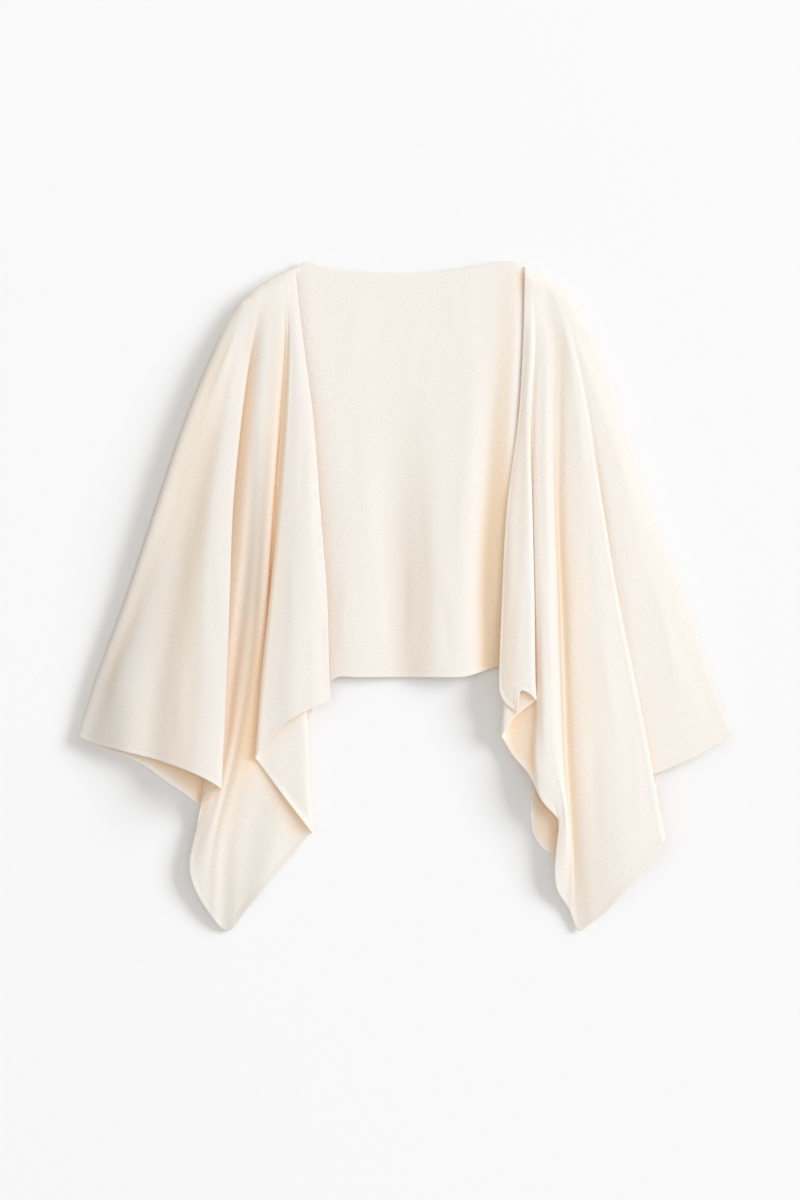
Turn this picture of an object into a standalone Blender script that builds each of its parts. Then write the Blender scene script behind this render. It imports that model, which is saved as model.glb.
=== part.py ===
"""Knit cape laid flat: back panel, two open fronts and the narrow bands sewn along their free edges.

Every piece of cloth is one sheet, worked out from fold lines that run from the shoulder down to the hem.
A fold table gives each fold line its place at a few levels down the garment and its height above the
surface the cape lies on. A smooth sheet is drawn through the fold lines and given the cloth's thickness.
X runs along the arms, Y from hem to neck, Z up from the surface. The tables are in millimetres.
"""

import bpy
import numpy as np

# Sizes, in millimetres
CLOTH = 2.0  # thickness of the knit, with its loft
BAND_CLOTH = 2.2  # thickness of the doubled band along the free edges
BAND_WIDTH = 8.0  # width of that band
ARM_GAP = 0.3  # space between the front and the back along the arm line
ARM_RIM = 0.7  # height of the upright rim each of them has there
BAND_GAP = 1.2  # space between a panel's and a band's middle surfaces where they are sewn
BAND_TURN = 3.0  # a panel's last lines but one lie this far from its band, so that both meet it at one slope
ROLL_OVER = 19.0  # how far in from the arm line the front takes to round over to its full height
PLEAT_START = 20.0  # the pleats begin to rise this far below the shoulder
PLEAT_REACH = 75.0  # and are at full height after this much more
ROLL_UNDER = 7.0  # how far in from the arm line the back takes to come down to the surface
SEAM_HIGH = 8.0  # height of the arm line at the shoulder
SEAM_LOW = 5.0  # height of the arm line at the wrist
SHOULDER_Y = 320.0  # the arm line begins to sink here
WRIST_Y = -180.0  # and is at its lowest here
TRIM_ZONE = 40.0  # a trimmed sheet closes up its last lines over at least this length
FOLD_SIDE = 3.0  # a pleat's sheet stays flat up to this far from its fold line
FOLD_RISE = 3.2  # and rounds over by up to this much, above and below the fold line
CENTRE_X = -1.5  # middle of the laid garment in the tables' own axes
CENTRE_Y = 0.5

FRONT_LEVELS = (322, 222, 112, 2, -108)  # the levels that cross a front, as Y
BACK_LEVELS = (322, 222, 112, 2)
FRONT_LINES = (0.6, 1, 2, 3, 4, 5, 6, 7, 7.6, 8)  # a front's lines across, counted in table places
BACK_LINES = (0.6, 1, 2, 3, 4, 5, 6, 7)

# One row for each fold line, in order from the arm line to the front edge.
# name, (x, y) at the shoulder, x at each level, (x, y) of two points below the levels or None where the
# line runs straight, (x, y) at the hem, height at each of these places from the shoulder to the hem.
# A name that ends in _fold is a pleat's fold, where one layer turns back over the next.
LEFT_FRONT_FOLDS = (
    ("arm_seam", (-204, 368), (-232.5, -275, -312.5, -349, -389), None, (-409, -175.5),
     (14, 17, 18, 18, 15, 11, 8)),
    ("roll_in", (-200, 371), (-219, -260, -297.5, -334, -374), None, (-394, -182.5),
     (15, 18, 18.5, 17.5, 14, 10.5, 8.5)),
    ("plateau", (-196, 374.5), (-215, -249, -279, -315, -357), None, (-367.5, -189.5),
     (15, 19.5, 22, 22.5, 19.8, 15.8, 12.5)),
    ("trough", (-192.5, 378), (-209, -236, -259, -280, -300), None, (-307, -205),
     (15, 19.5, 25.5, 28, 25.8, 21.8, 17.5)),
    ("ridge_top", (-189, 382), (-202.5, -221, -240, -247.5, -249), None, (-260, -222),
     (15, 19.5, 30, 35.5, 37.3, 37, 32)),
    ("ridge_side", (-184, 385), (-195, -208.5, -219.5, -223.5, -227.5), None, (-236, -235),
     (15, 18.5, 29, 35, 37, 36.5, 31.5)),
    ("ridge_edge", (-181, 387), (-192, -205.5, -216, -220, -224), None, (-230.5, -240),
     (14.8, 16.5, 23, 28, 30, 29.5, 25.5)),
    ("under_ridge", (-179, 388), (-191.5, -209, -221.5, -231.5, -238), None, (-242, -246),
     (14.6, 14.2, 13.5, 13, 13.5, 15, 16.5)),
    ("under_turn", (-176, 389.5), (-190, -207, -220, -233, -246), None, (-251, -252),
     (14.4, 12.8, 9.5, 7, 6.8, 8, 13)),
    ("strip_in", (-174, 391), (-187, -200.5, -211.5, -225, -238), ((-242, -173), (-251, -235.5)),
     (-260.5, -284.5), (14.3, 13.6, 12, 9, 6.5, 5, 5.2, 6, 7.5)),
    ("strip_top", (-169, 394.5), (-177, -183, -188, -198, -212), ((-224, -198), (-247.5, -292)),
     (-270, -344.5), (14.2, 16.5, 17.8, 14.5, 10, 7.8, 8.4, 13.5, 8.5)),
    ("strip_low", (-162.5, 397.5), (-165.5, -171, -176, -183, -195), ((-213, -204.5), (-238, -310.5)),
     (-243, -400), (14, 15, 16, 15, 13.5, 11.5, 8.8, 12.5, 6)),
    ("cleft", (-157.5, 400.5), (-154.5, -160, -168, -175, -187), ((-199.5, -210.5), (-219, -308)),
     (-222.5, -418), (13.8, 13.4, 13, 13, 13, 11, 7, 4.4, 2)),
    ("pendant_mid", (-155, 402), (-152, -158, -165, -169, -162.5), ((-161, -217), (-176, -306)),
     (-198, -390), (13.5, 12, 8.8, 7.6, 7, 6, 5.4, 4.8, 3)),
    ("sr_fold", (-152.5, 403), (-150, -155.5, -162, -152, -129), ((-122.5, -173), (-121, -242)),
     (-117.5, -294.5), (13.2, 12.6, 9.2, 8, 8.5, 9, 9, 8.4, 7)),
    ("r_mid", (-150, 404.5), (-148, -153.5, -160.5, -160.5, -152.5), ((-152.5, -148), (-152, -200.5)),
     (-152.5, -249.5), (13, 13.6, 12, 11.5, 12.5, 13, 13, 12.2, 10.6)),
    ("rf_fold", (-147.5, 405.5), (-145.5, -150, -158.5, -169, -180.5), None, (-188, -202),
     (12.6, 15.5, 16.5, 17, 17.5, 17.5, 14.5)),
    ("f_side", (-145.6, 406.4), (-142, -145, -152, -161, -172.5), None, (-174.5, -184.5),
     (12.2, 16.8, 20, 21.5, 22, 22, 19.5)),
    ("f_top", (-143.6, 407.3), (-137, -134.5, -135.5, -140.5, -150), None, (-149, -157.5),
     (11.6, 16.6, 21.5, 24, 25, 24.8, 22.5)),
    ("f_slope", (-141.2, 408.3), (-133, -124, -120, -118, -120), None, (-119, -140.5),
     (10.8, 14.2, 19.2, 21.8, 22.5, 21, 18.5)),
    ("front_edge", (-138.6, 409.4), (-128.5, -115.5, -107, -98.5, -95.5), None, (-94, -130.5),
     (9.8, 10.8, 15, 17, 17.5, 15, 11.5)),
)

RIGHT_FRONT_FOLDS = (
    ("arm_seam", (205, 372), (230, 266, 302.5, 344, 381), None, (406, -174.5),
     (13, 16, 17, 16, 14, 11, 8)),
    ("roll_in", (201, 375), (217.5, 254, 289, 329, 366), None, (391, -182.5),
     (14, 17.5, 18.5, 18, 15.5, 12.5, 9.5)),
    ("arm_mid", (197.5, 379), (212.5, 244, 275, 306, 339), None, (357.5, -202),
     (14, 18, 19, 19, 17.5, 15, 11)),
    ("arm_in", (194, 382), (209, 233, 252.5, 272.5, 295), None, (317.5, -219),
     (14, 17.5, 18.5, 18.5, 17.5, 15, 10.5)),
    ("arm_under", (191, 384), (207.5, 229, 242.5, 255.5, 269), None, (289, -230.5),
     (14, 17.5, 17.5, 15, 14, 12, 6.5)),
    ("ab_fold", (189.5, 385), (206.5, 226, 238, 242, 250), None, (274, -245.5),
     (14, 18, 18.5, 16.5, 15, 14, 9.5)),
    ("v_mid", (187.5, 386), (206, 226.5, 241, 253, 269), ((279, -160.5), (289, -217)),
     (300, -277), (14, 18.6, 19.6, 19.4, 18, 17.3, 16, 13.6, 11)),
    ("b_fold", (185.5, 387.5), (204.5, 226, 244.5, 263, 285.5), ((299, -175.5), (312.5, -250.5)),
     (322.5, -302), (14, 19, 21, 21.5, 21, 20.5, 19.5, 17.2, 14.5)),
    ("b_side", (183, 389), (203, 222, 239, 256, 276), ((290, -185.5), (302.5, -267)),
     (310.5, -324.5), (14, 19.4, 22.5, 24.3, 24.6, 24.4, 23.3, 21, 17)),
    ("b_top", (180.5, 390), (200.5, 214.5, 227, 239.5, 251), ((260, -204.5), (270, -292)),
     (276, -365.5), (14, 19.2, 23, 25, 25.8, 26, 25, 22, 14)),
    ("b_low", (177.5, 391), (198, 205.5, 210, 217, 224), ((229.5, -210.5), (235, -304.5)),
     (245, -398), (13.8, 18.3, 22, 24, 25, 25, 23.2, 18, 7)),
    ("b_wall", (175, 392.5), (194.5, 198, 199, 203, 207), ((212, -217), (217.5, -317)),
     (227.5, -410.5), (13.6, 17.2, 20.6, 22.6, 23.6, 23.2, 20.5, 14, 4.5)),
    ("valley", (172.5, 394), (190, 192, 191, 195, 199.5), ((203, -217), (209, -317)),
     (216, -418), (13.4, 16.6, 18.8, 20.4, 21, 20.6, 17.3, 11.3, 2.6)),
    ("s2_wall", (170, 395), (186, 185, 186, 190, 193), ((197.5, -217), (206, -310.5)),
     (203, -390.5), (13.4, 16.8, 19.8, 21.4, 22.2, 21.6, 18.8, 13.2, 4.5)),
    ("s2_top", (167.5, 396), (179.5, 179, 181, 184.5, 187), ((191.5, -210.5), (200.5, -300)),
     (187.5, -363), (13.6, 18, 21.5, 23, 23.5, 23.5, 22.5, 17.5, 9)),
    ("s2_wave", (165.5, 397), (174.5, 174, 175, 177.5, 179.5), ((184.5, -198), (195, -270)),
     (186.5, -320), (13.6, 18.5, 22.5, 24.5, 25.5, 26, 24.8, 19.4, 12.5)),
    ("s2_side", (163.5, 398), (169.5, 168, 168, 170.5, 172), ((175, -185.5), (181, -236)),
     (192, -284), (13.5, 17.5, 21, 23, 24.8, 25.5, 25, 22, 16)),
    ("s2_in", (162, 399.2), (165, 161.8, 160.8, 163, 165.2), ((164.8, -164.5), (163, -210.5)),
     (169, -254.5), (13.3, 16, 19, 20.5, 21.8, 20.6, 21.5, 21.5, 19)),
    ("s2_foot", (160.5, 400), (163, 159.5, 159, 159.5, 158), None, (153, -222),
     (13.2, 15.2, 16.6, 17.2, 16.6, 12, 13)),
    ("s2_under", (159.5, 401), (161.5, 157, 155, 151, 141), None, (132.5, -198),
     (13.1, 14, 13.2, 11.4, 9.6, 8, 8)),
    ("u_fold", (158.5, 402), (160.5, 154.5, 150.5, 140.5, 124), None, (119, -174.5),
     (13, 14, 13.8, 13.2, 13.3, 13.5, 13)),
    ("r1_mid", (157.5, 402.8), (159, 154, 153, 149, 140), None, (136, -150.5),
     (13, 15, 16.6, 17, 17.6, 18, 17)),
    ("s1_fold", (156.5, 403.8), (158, 154, 156.5, 159, 160.5), None, (162, -129.5),
     (12.9, 17, 19.6, 21.2, 23.2, 24.2, 22)),
    ("s1_side", (154.5, 405.5), (155.5, 151, 153, 154.5, 154.5), None, (152.5, -120.5),
     (12.6, 16.8, 19.4, 22.4, 25.4, 26.8, 26)),
    ("s1_top", (152.5, 407.2), (152.5, 147, 145.5, 144, 141), None, (143, -117.5),
     (12, 15.2, 17.2, 20.4, 24.2, 26, 26)),
    ("s1_slope", (150, 408.8), (149.5, 143.5, 135, 131, 129), ((131, -117), (135.5, -123)),
     (141, -131), (11.2, 13.2, 14.8, 17.2, 20.4, 23, 24.4, 24.6, 23.6)),
    ("front_edge", (148, 410.5), (146, 140, 125.5, 119.5, 116), ((117, -120.5), (125, -134.5)),
     (139.5, -145), (10.2, 11.4, 12.8, 13.4, 15.4, 17.6, 19.4, 20, 20)),
)

# The back, from the left arm line to the right one.
BACK_FOLDS = (
    ("arm_seam_l", (-204, 368), (-232.5, -275, -312.5, -349), ((-369, -54.5), (-389.5, -110)),
     (-409, -175.5), (1, 1, 1, 1, 1, 1, 1, 1.1)),
    ("roll_in_l", (-200, 371), (-219, -260, -297.5, -334), None, (-392.5, -184.5), (1, 1, 1, 1, 1, 1.1)),
    ("under_arm_l", (-190, 380.5), (-207.5, -240, -264, -287.5), None, (-332.5, -208),
     (1, 1, 1, 1, 1, 2.5)),
    ("under_ridge_l", (-177.5, 389.5), (-192.5, -212.5, -230, -247.5), None, (-287.5, -239.5),
     (1, 1, 1, 1, 1, 2)),
    ("tongue_l", (-164, 397), (-174, -186, -196, -204), ((-210, -107), (-211, -195)),
     (-211, -280), (1, 1, 1, 1, 1, 1, 1, 1.1)),
    ("under_front_l", (-149, 405), (-154, -156, -156, -152.5), None, (-151, -214.5),
     (3, 1.6, 1.2, 1, 1, 1.1)),
    ("neck_l", (-136, 410.5), (-131, -122.5, -114, -106), None, (-102.5, -114.5),
     (4.4, 3.8, 2.8, 2.6, 2.8, 2.8)),
    ("back_edge_l", (-126, 418), (-117.5, -105, -92.5, -86), None, (-85, -101), (5.6, 4.8, 4.2, 4.4, 5, 4.8)),
    ("wave_1", (-105, 412), (-95, -80, -70, -65), None, (-64, -101), (5.5, 4.5, 4.5, 5.5, 6.5, 6.5)),
    ("wave_2", (-76, 407), (-64, -50, -42.5, -37.5), None, (-35, -101), (5, 4.5, 4.5, 5.2, 5.8, 5.5)),
    ("trough_1", (-39, 404.5), (-27.5, -19, -10, -4), None, (-4, -101), (4.5, 4, 3.8, 3.4, 3.6, 3.6)),
    ("rise", (-1, 403.5), (5, 9, 12.5, 16), None, (17.5, -101), (4.5, 4, 4.4, 5.4, 7.2, 7)),
    ("crest", (30, 405), (32.5, 34, 35, 37.5), None, (39, -101), (4.5, 4.6, 6.2, 8.8, 11.5, 10.5)),
    ("wave_3", (57.5, 408), (61, 61, 59, 57.5), None, (59, -101), (5, 5.4, 7.4, 10.6, 13, 12)),
    ("ridge", (82.5, 411.5), (85, 82.5, 77.5, 74), None, (75, -100), (5.5, 6.5, 8.8, 11.5, 12.6, 11)),
    ("fall", (105, 415.5), (104, 96, 90, 86), None, (89, -96), (5.5, 6, 7.2, 8.8, 9, 7.5)),
    ("foot", (121, 419), (117.5, 107.5, 101, 97.5), None, (101, -92), (6, 6.2, 5.8, 5.6, 5.2, 4)),
    ("neck_r", (135, 417.5), (129, 121, 115, 111), None, (115, -88), (6.4, 7.4, 7.8, 8, 7.8, 5.4)),
    ("under_s1", (148, 410.5), (142.5, 137.5, 134, 131), None, (134, -94.5), (4.2, 8, 9.4, 10, 9.6, 5)),
    ("under_s2", (156, 402.5), (156, 155, 154, 154), None, (159, -134.5), (1.2, 1, 1, 1, 1, 1.1)),
    ("tongue_r", (165, 397.5), (169, 171, 174, 177.5), ((173, -117), (168, -223)), (160, -299.5),
     (1, 1, 1, 1, 1, 1, 1, 1.1)),
    ("tongue_corner", (175, 392.5), (184, 192.5, 202.5, 214), ((211, -129.5), (199, -242)),
     (187.5, -325.5), (1, 1, 1, 1, 1, 1, 1, 1.1)),
    ("under_b", (185, 387.5), (197.5, 217.5, 236, 257.5), ((257.5, -129.5), (250, -242)),
     (242.5, -344.5), (1, 1, 1, 1, 1, 1, 1, 1.1)),
    ("under_b2", (192.5, 383), (206, 234, 261, 292.5), ((292.5, -117), (292.5, -204.5)),
     (294, -282), (1, 1, 1, 1, 1, 1, 1, 1.1)),
    ("under_arm_r", (197.5, 379), (212.5, 244, 276, 311), None, (322.5, -215.5), (1, 1, 1, 1, 1, 1.5)),
    ("roll_in_r", (201, 375), (217.5, 254, 289, 329), None, (367.5, -196), (1, 1, 1, 1, 1, 1.1)),
    ("arm_seam_r", (205, 372), (230, 266, 302.5, 344), ((363.5, -55.5), (382, -110)),
     (406, -174.5), (1, 1, 1, 1, 1, 1, 1, 1.1)),
)

# The bands on the back's edge: name, first and last fold line. The edge hidden in the folds has none.
BACK_BANDS = (
    ("back_left_cuff_band", "arm_seam_l", "tongue_l"),
    ("back_hem_band", "neck_l", "under_s1"),
    ("back_right_cuff_band", "under_arm_r", "arm_seam_r"),
)

STEPS = 10  # points on the smooth sheet between two places of a table
NEAR_SHOULDER = (0.0, 1.0, 4.5, 12.0)  # first lines of a sheet, in mm from the shoulder
NEAR_SEAM = (0.05, 0.2, 0.5)  # extra lines between the arm line and the next fold line
NEAR_HEM = 18  # fine columns to each side whose hem counts when a column is cut back from it
BAND_SHARES = (1.0, 0.65, 0.0)  # lines along a band, as shares of its width from the free edge
PANEL_CUT = BAND_WIDTH + BAND_GAP
WIDE = 9.0  # fold lines further apart than this get one line more between them


def fold_net(rows, levels):
    """The table as a net of points, one line of it for each fold line."""
    net = []
    for _name, top, xs, low, hem, heights in rows:
        places = [top] + list(zip(xs, levels))
        heights = list(heights)
        if low is None:
            start = np.array((*places[-1], heights[-2]))
            end = np.array((*hem, heights[-1]))
            thirds = [start + (end - start) * k / 3 for k in (1, 2)]
            points = [(*place, z) for place, z in zip(places, heights)] + thirds
        else:
            points = [(*place, z) for place, z in zip(places + list(low), heights)]
        net.append(points + [(*hem, heights[-1])])
    net = np.array(net, dtype=float)
    lines = []
    for k, row in enumerate(rows):
        if not row[0].endswith("_fold"):
            lines.append(net[k])
            continue
        lines += [beside_fold(net[k], net[k - 1]), net[k], beside_fold(net[k], net[k + 1])]
    return np.array(lines)


def beside_fold(fold, layer):
    """A line close to a fold line, on the side and at nearly the height of the layer that leaves it."""
    step = layer - fold
    reach = np.linalg.norm(step[:, :2], axis=1)
    share = np.minimum(FOLD_SIDE, reach / 2) / np.maximum(reach, 1e-6)
    line = fold.copy()
    line[:, :2] += step[:, :2] * share[:, None]
    line[:, 2] += np.sign(step[:, 2]) * np.minimum(FOLD_RISE, 0.85 * np.abs(step[:, 2]))
    return line


def smooth(points, steps):
    """A smooth curve through points along the first axis, with its knots spaced by chord length."""
    ends = (2 * points[0] - points[1], 2 * points[-1] - points[-2])
    line = np.concatenate((ends[0][None], points, ends[1][None]))
    gaps = np.maximum(np.linalg.norm(np.diff(line, axis=0), axis=-1, keepdims=True), 1e-6) ** 0.5
    out = []
    for i in range(len(points) - 1):
        p0, p1, p2, p3 = line[i : i + 4]
        t1 = gaps[i]
        t2 = t1 + gaps[i + 1]
        t3 = t2 + gaps[i + 2]
        for k in range(steps):
            t = t1 + (t2 - t1) * k / steps
            a1 = (t1 - t) / t1 * p0 + t / t1 * p1
            a2 = (t2 - t) / (t2 - t1) * p1 + (t - t1) / (t2 - t1) * p2
            a3 = (t3 - t) / (t3 - t2) * p2 + (t - t2) / (t3 - t2) * p3
            b1 = (t2 - t) / t2 * a1 + t / t2 * a2
            b2 = (t3 - t) / (t3 - t1) * a2 + (t - t1) / (t3 - t1) * a3
            out.append((t2 - t) / (t2 - t1) * b1 + (t - t1) / (t2 - t1) * b2)
    out.append(points[-1])
    return np.array(out)


def distance_to(path, points, axes):
    """Distance from each point to a path, in plan for two axes and in space for three."""
    a = path[:-1, :axes]
    ab = path[1:, :axes] - a
    flat = points.reshape(-1, 3)[:, :axes]
    best = np.full(len(flat), np.inf)
    for start, step in zip(a, ab):
        share = np.clip((flat - start) @ step / max(step @ step, 1e-9), 0, 1)
        gap = np.linalg.norm(flat - start - share[:, None] * step, axis=1)
        best = np.minimum(best, gap)
    return best.reshape(points.shape[:-1])


def seam_height(y):
    share = np.clip((y - WRIST_Y) / (SHOULDER_Y - WRIST_Y), 0, 1)
    return SEAM_LOW + (SEAM_HIGH - SEAM_LOW) * share


def rounding(distance, radius):
    """0 at the arm line and 1 a radius inside it, rising as a quarter circle does."""
    return np.sqrt(1 - (1 - np.clip(distance / radius, 0, 1)) ** 2)


def ease(share):
    """0 to 1 along an S curve."""
    share = np.clip(share, 0, 1)
    return share * share * (3 - 2 * share)


def fine_sheet(rows, levels):
    """Points of the smooth sheet: first axis down the garment, second axis across it."""
    net = fold_net(rows, levels).transpose(1, 0, 2)
    down = smooth(net, STEPS)
    return smooth(down.transpose(1, 0, 2), STEPS).transpose(1, 0, 2)


def front_sheet(rows):
    sheet = fine_sheet(rows, FRONT_LEVELS)
    grown = ease((lengths(sheet) - PLEAT_START) / PLEAT_REACH)
    sheet[..., 2] = sheet[0, :, 2] + (sheet[..., 2] - sheet[0, :, 2]) * grown
    arm_line = np.concatenate((sheet[::-1, 0], sheet[0, 1:]))
    away = distance_to(arm_line, sheet, 2)
    low = seam_height(sheet[..., 1]) + ARM_GAP / 2 + ARM_RIM
    sheet[..., 2] = low + (sheet[..., 2] - low) * rounding(away, ROLL_OVER)
    return sheet


def back_sheet():
    sheet = fine_sheet(BACK_FOLDS, BACK_LEVELS)
    names = [row[0] for row in BACK_FOLDS]
    neck_l = names.index("neck_l") * STEPS
    neck_r = names.index("under_s1") * STEPS
    left = np.concatenate((sheet[::-1, 0], sheet[0, 1 : neck_l + 1]))
    right = np.concatenate((sheet[0, neck_r:-1], sheet[:, -1]))
    away = np.minimum(distance_to(left, sheet, 2), distance_to(right, sheet, 2))
    high = seam_height(sheet[..., 1]) - ARM_GAP / 2 - ARM_RIM
    flat = np.maximum(sheet[..., 2], CLOTH / 2)
    sheet[..., 2] = high + (flat - high) * rounding(away, ROLL_UNDER)
    return sheet


def lengths(lines):
    """Length from the first point to each point, along the first axis."""
    steps = np.linalg.norm(np.diff(lines, axis=0), axis=-1)
    return np.concatenate((np.zeros((1, lines.shape[1])), np.cumsum(steps, axis=0)))


def at_lengths(lines, run, places):
    """Points of each line at the given lengths along it."""
    out = np.empty((len(places), lines.shape[1], 3))
    for k in range(lines.shape[1]):
        for axis in range(3):
            out[:, k, axis] = np.interp(places[:, k], run[:, k], lines[:, k, axis])
    return out


def closed_up(places, total, cut):
    """Places along lines of which the last part is cut off, the last ones closing up to the cut."""
    zone = np.maximum(TRIM_ZONE, 2 * cut)
    start = total - zone
    inside = start + (places - start) * (zone - cut) / zone
    closed = np.where(places > start, inside, places)
    turn = np.maximum(closed[-1] - BAND_TURN, (closed[-1] + closed[-3]) / 2)
    closed[-2] = np.where(cut > 0, turn, closed[-2])
    return closed


def hem_cut(sheet, run, width):
    """How far up each fine column lies a given distance from the hem."""
    hem = sheet[-1]
    count = len(hem)
    cut = np.empty(count)
    for k in range(count):
        near = hem[max(0, k - NEAR_HEM) : min(count, k + NEAR_HEM + 1)]
        away = distance_to(near, sheet[::-1, k], 3)
        cut[k] = np.interp(width, np.maximum.accumulate(away), run[-1, k] - run[::-1, k])
    return np.convolve(np.pad(cut, 1, mode="edge"), np.ones(3) / 3, mode="valid")


def down_lines(sheet, run, lines, cut):
    """Lengths down each fine column at which the panel's lines lie."""
    near = np.array(NEAR_SHOULDER)[:, None] * np.ones(sheet.shape[1])
    rest = run[[round(place * STEPS) for place in lines]]
    return closed_up(np.concatenate((near, rest)), run[-1], cut)


def across_places(sheet, both_seams, first, last):
    """Fine columns at which the panel's lines lie: each fold line, more near an arm line and where wide."""
    count = (sheet.shape[1] - 1) // STEPS
    middle = sheet[len(sheet) // 2]
    places = []
    for k in range(count):
        places.append(k * STEPS)
        gap = np.linalg.norm(middle[(k + 1) * STEPS] - middle[k * STEPS])
        if k == 0:
            places += [share * STEPS for share in NEAR_SEAM]
        elif both_seams and k == count - 1:
            places += [(k + 1 - share) * STEPS for share in NEAR_SEAM[::-1]]
        elif gap > WIDE and first <= k < last:
            places.append((k + 0.5) * STEPS)
    places.append(count * STEPS)
    return np.array(places, dtype=float)


def at_columns(rows, places, cut):
    """Points of each row at fine columns, the last ones closing up to a cut along the front edge."""
    lines = rows.transpose(1, 0, 2)
    run = lengths(lines)
    index = np.arange(len(lines))
    wanted = np.array([np.interp(places, index, run[:, k]) for k in range(run.shape[1])]).T
    if cut > 0:
        wanted = closed_up(wanted, run[-1], cut)
    return at_lengths(lines, run, wanted).transpose(1, 0, 2)


def last_strip(rows, shares):
    """The strip of each row that ends at the front edge, at these shares of the band's width."""
    lines = rows.transpose(1, 0, 2)
    run = lengths(lines)
    wanted = np.array([run[-1] - BAND_WIDTH * share for share in shares])
    return at_lengths(lines, run, wanted).transpose(1, 0, 2)


def cloth_material(name, colour):
    material = bpy.data.materials.new(name)
    material.use_nodes = True
    shader = material.node_tree.nodes["Principled BSDF"]
    shader.inputs["Base Color"].default_value = (*colour, 1.0)
    shader.inputs["Roughness"].default_value = 0.9
    shader.inputs["Metallic"].default_value = 0.0
    return material


def add_cloth(name, grid, thickness, colour, rims, collection):
    """One piece of cloth: a sheet through a grid of points, thickened evenly to both sides.

    Each rim is a path of grid places along the sheet's edge and the height of the upright strip there.
    """
    rows, columns = grid.shape[:2]
    points = grid.reshape(-1, 3).copy()
    points[:, 2] = np.maximum(points[:, 2], thickness / 2)
    faces = []
    for i in range(rows - 1):
        for j in range(columns - 1):
            a = i * columns + j
            faces.append((a, a + columns, a + columns + 1, a + 1))
    for path, height in rims:
        along = [i * columns + j for i, j in path]
        start = len(points)
        points = np.concatenate((points, points[along] + (0.0, 0.0, height)))
        for k in range(len(along) - 1):
            faces.append((along[k], along[k + 1], start + k + 1, start + k))
    points = (points - (CENTRE_X, CENTRE_Y, 0.0)) * 0.001
    mesh = bpy.data.meshes.new(name)
    mesh.from_pydata(points.tolist(), [], faces)
    mesh.update()
    piece = bpy.data.objects.new(name, mesh)
    collection.objects.link(piece)
    mesh.materials.append(cloth_material(name, colour))
    wall = piece.modifiers.new("cloth", "SOLIDIFY")
    wall.thickness = thickness * 0.001
    wall.offset = 0.0
    wall.use_even_offset = False
    return piece


def up_and_over(rows, columns):
    """Grid places from the foot of the first column up to the top, then along the first row."""
    return [(i, 0) for i in range(rows - 1, 0, -1)] + [(0, j) for j in range(columns)]


def over_and_down(rows, columns, first):
    """Grid places along the first row from one of its columns, then down the last column."""
    return [(0, j) for j in range(first, columns)] + [(i, columns - 1) for i in range(1, rows)]


def add_front(side, folds, collection):
    sheet = front_sheet(folds)
    run = lengths(sheet)
    rows = at_lengths(sheet, run, down_lines(sheet, run, FRONT_LINES, hem_cut(sheet, run, PANEL_CUT)))
    places = across_places(sheet, False, 0, len(folds))
    panel = at_columns(rows, places, PANEL_CUT)
    rims = [(up_and_over(*panel.shape[:2]), -ARM_RIM)]
    add_cloth(side + "_front", panel, CLOTH, KNIT, rims, collection)
    cuts = [hem_cut(sheet, run, BAND_WIDTH * share) for share in BAND_SHARES[:-1]]
    hem_rows = at_lengths(sheet, run, np.array([run[-1] - cut for cut in cuts] + [run[-1]]))
    corner = last_strip(hem_rows, BAND_SHARES)
    hem = np.concatenate((at_columns(hem_rows, places, PANEL_CUT), corner), axis=1)
    rims = [(up_and_over(len(hem), 1), -ARM_RIM)]
    add_cloth(side + "_hem_band", hem, BAND_CLOTH, BAND_KNIT, rims, collection)
    edge = last_strip(rows, BAND_SHARES)
    rims = [(over_and_down(1, len(BAND_SHARES), 0), -ARM_RIM)]
    add_cloth(side + "_edge_band", edge, BAND_CLOTH, BAND_KNIT, rims, collection)


def add_back(collection):
    sheet = back_sheet()
    names = [row[0] for row in BACK_FOLDS]
    neck_l = names.index("neck_l")
    neck_r = names.index("under_s1")
    places = across_places(sheet, True, neck_l, neck_r)
    run = lengths(sheet)
    cut = np.zeros(sheet.shape[1])
    panel_cut = hem_cut(sheet, run, PANEL_CUT)
    for _name, first, last in BACK_BANDS:
        banded = slice(names.index(first) * STEPS, names.index(last) * STEPS + 1)
        cut[banded] = panel_cut[banded]
    panel = at_columns(at_lengths(sheet, run, down_lines(sheet, run, BACK_LINES, cut)), places, 0.0)
    rows, columns = panel.shape[:2]
    left = up_and_over(rows, int(np.searchsorted(places, neck_l * STEPS)) + 1)
    right = over_and_down(rows, columns, int(np.searchsorted(places, neck_r * STEPS)))
    add_cloth("back_panel", panel, CLOTH, KNIT, [(left, ARM_RIM), (right, ARM_RIM)], collection)
    cuts = [hem_cut(sheet, run, BAND_WIDTH * share) for share in BAND_SHARES[:-1]]
    hem_rows = at_lengths(sheet, run, np.array([run[-1] - cut for cut in cuts] + [run[-1]]))
    for name, first, last in BACK_BANDS:
        ends = [names.index(first) * STEPS, names.index(last) * STEPS]
        inside = places[(places >= ends[0]) & (places <= ends[1])]
        band = at_columns(hem_rows, inside, 0.0)
        rims = []
        if first == names[0]:
            rims.append((up_and_over(len(band), 1), ARM_RIM))
        if last == names[-1]:
            rims.append((over_and_down(*band.shape[:2], band.shape[1] - 1), ARM_RIM))
        add_cloth(name, band, BAND_CLOTH, BAND_KNIT, rims, collection)


KNIT = (0.86, 0.80, 0.71)
BAND_KNIT = (0.88, 0.82, 0.73)

for old in list(bpy.data.objects):
    bpy.data.objects.remove(old)

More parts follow.
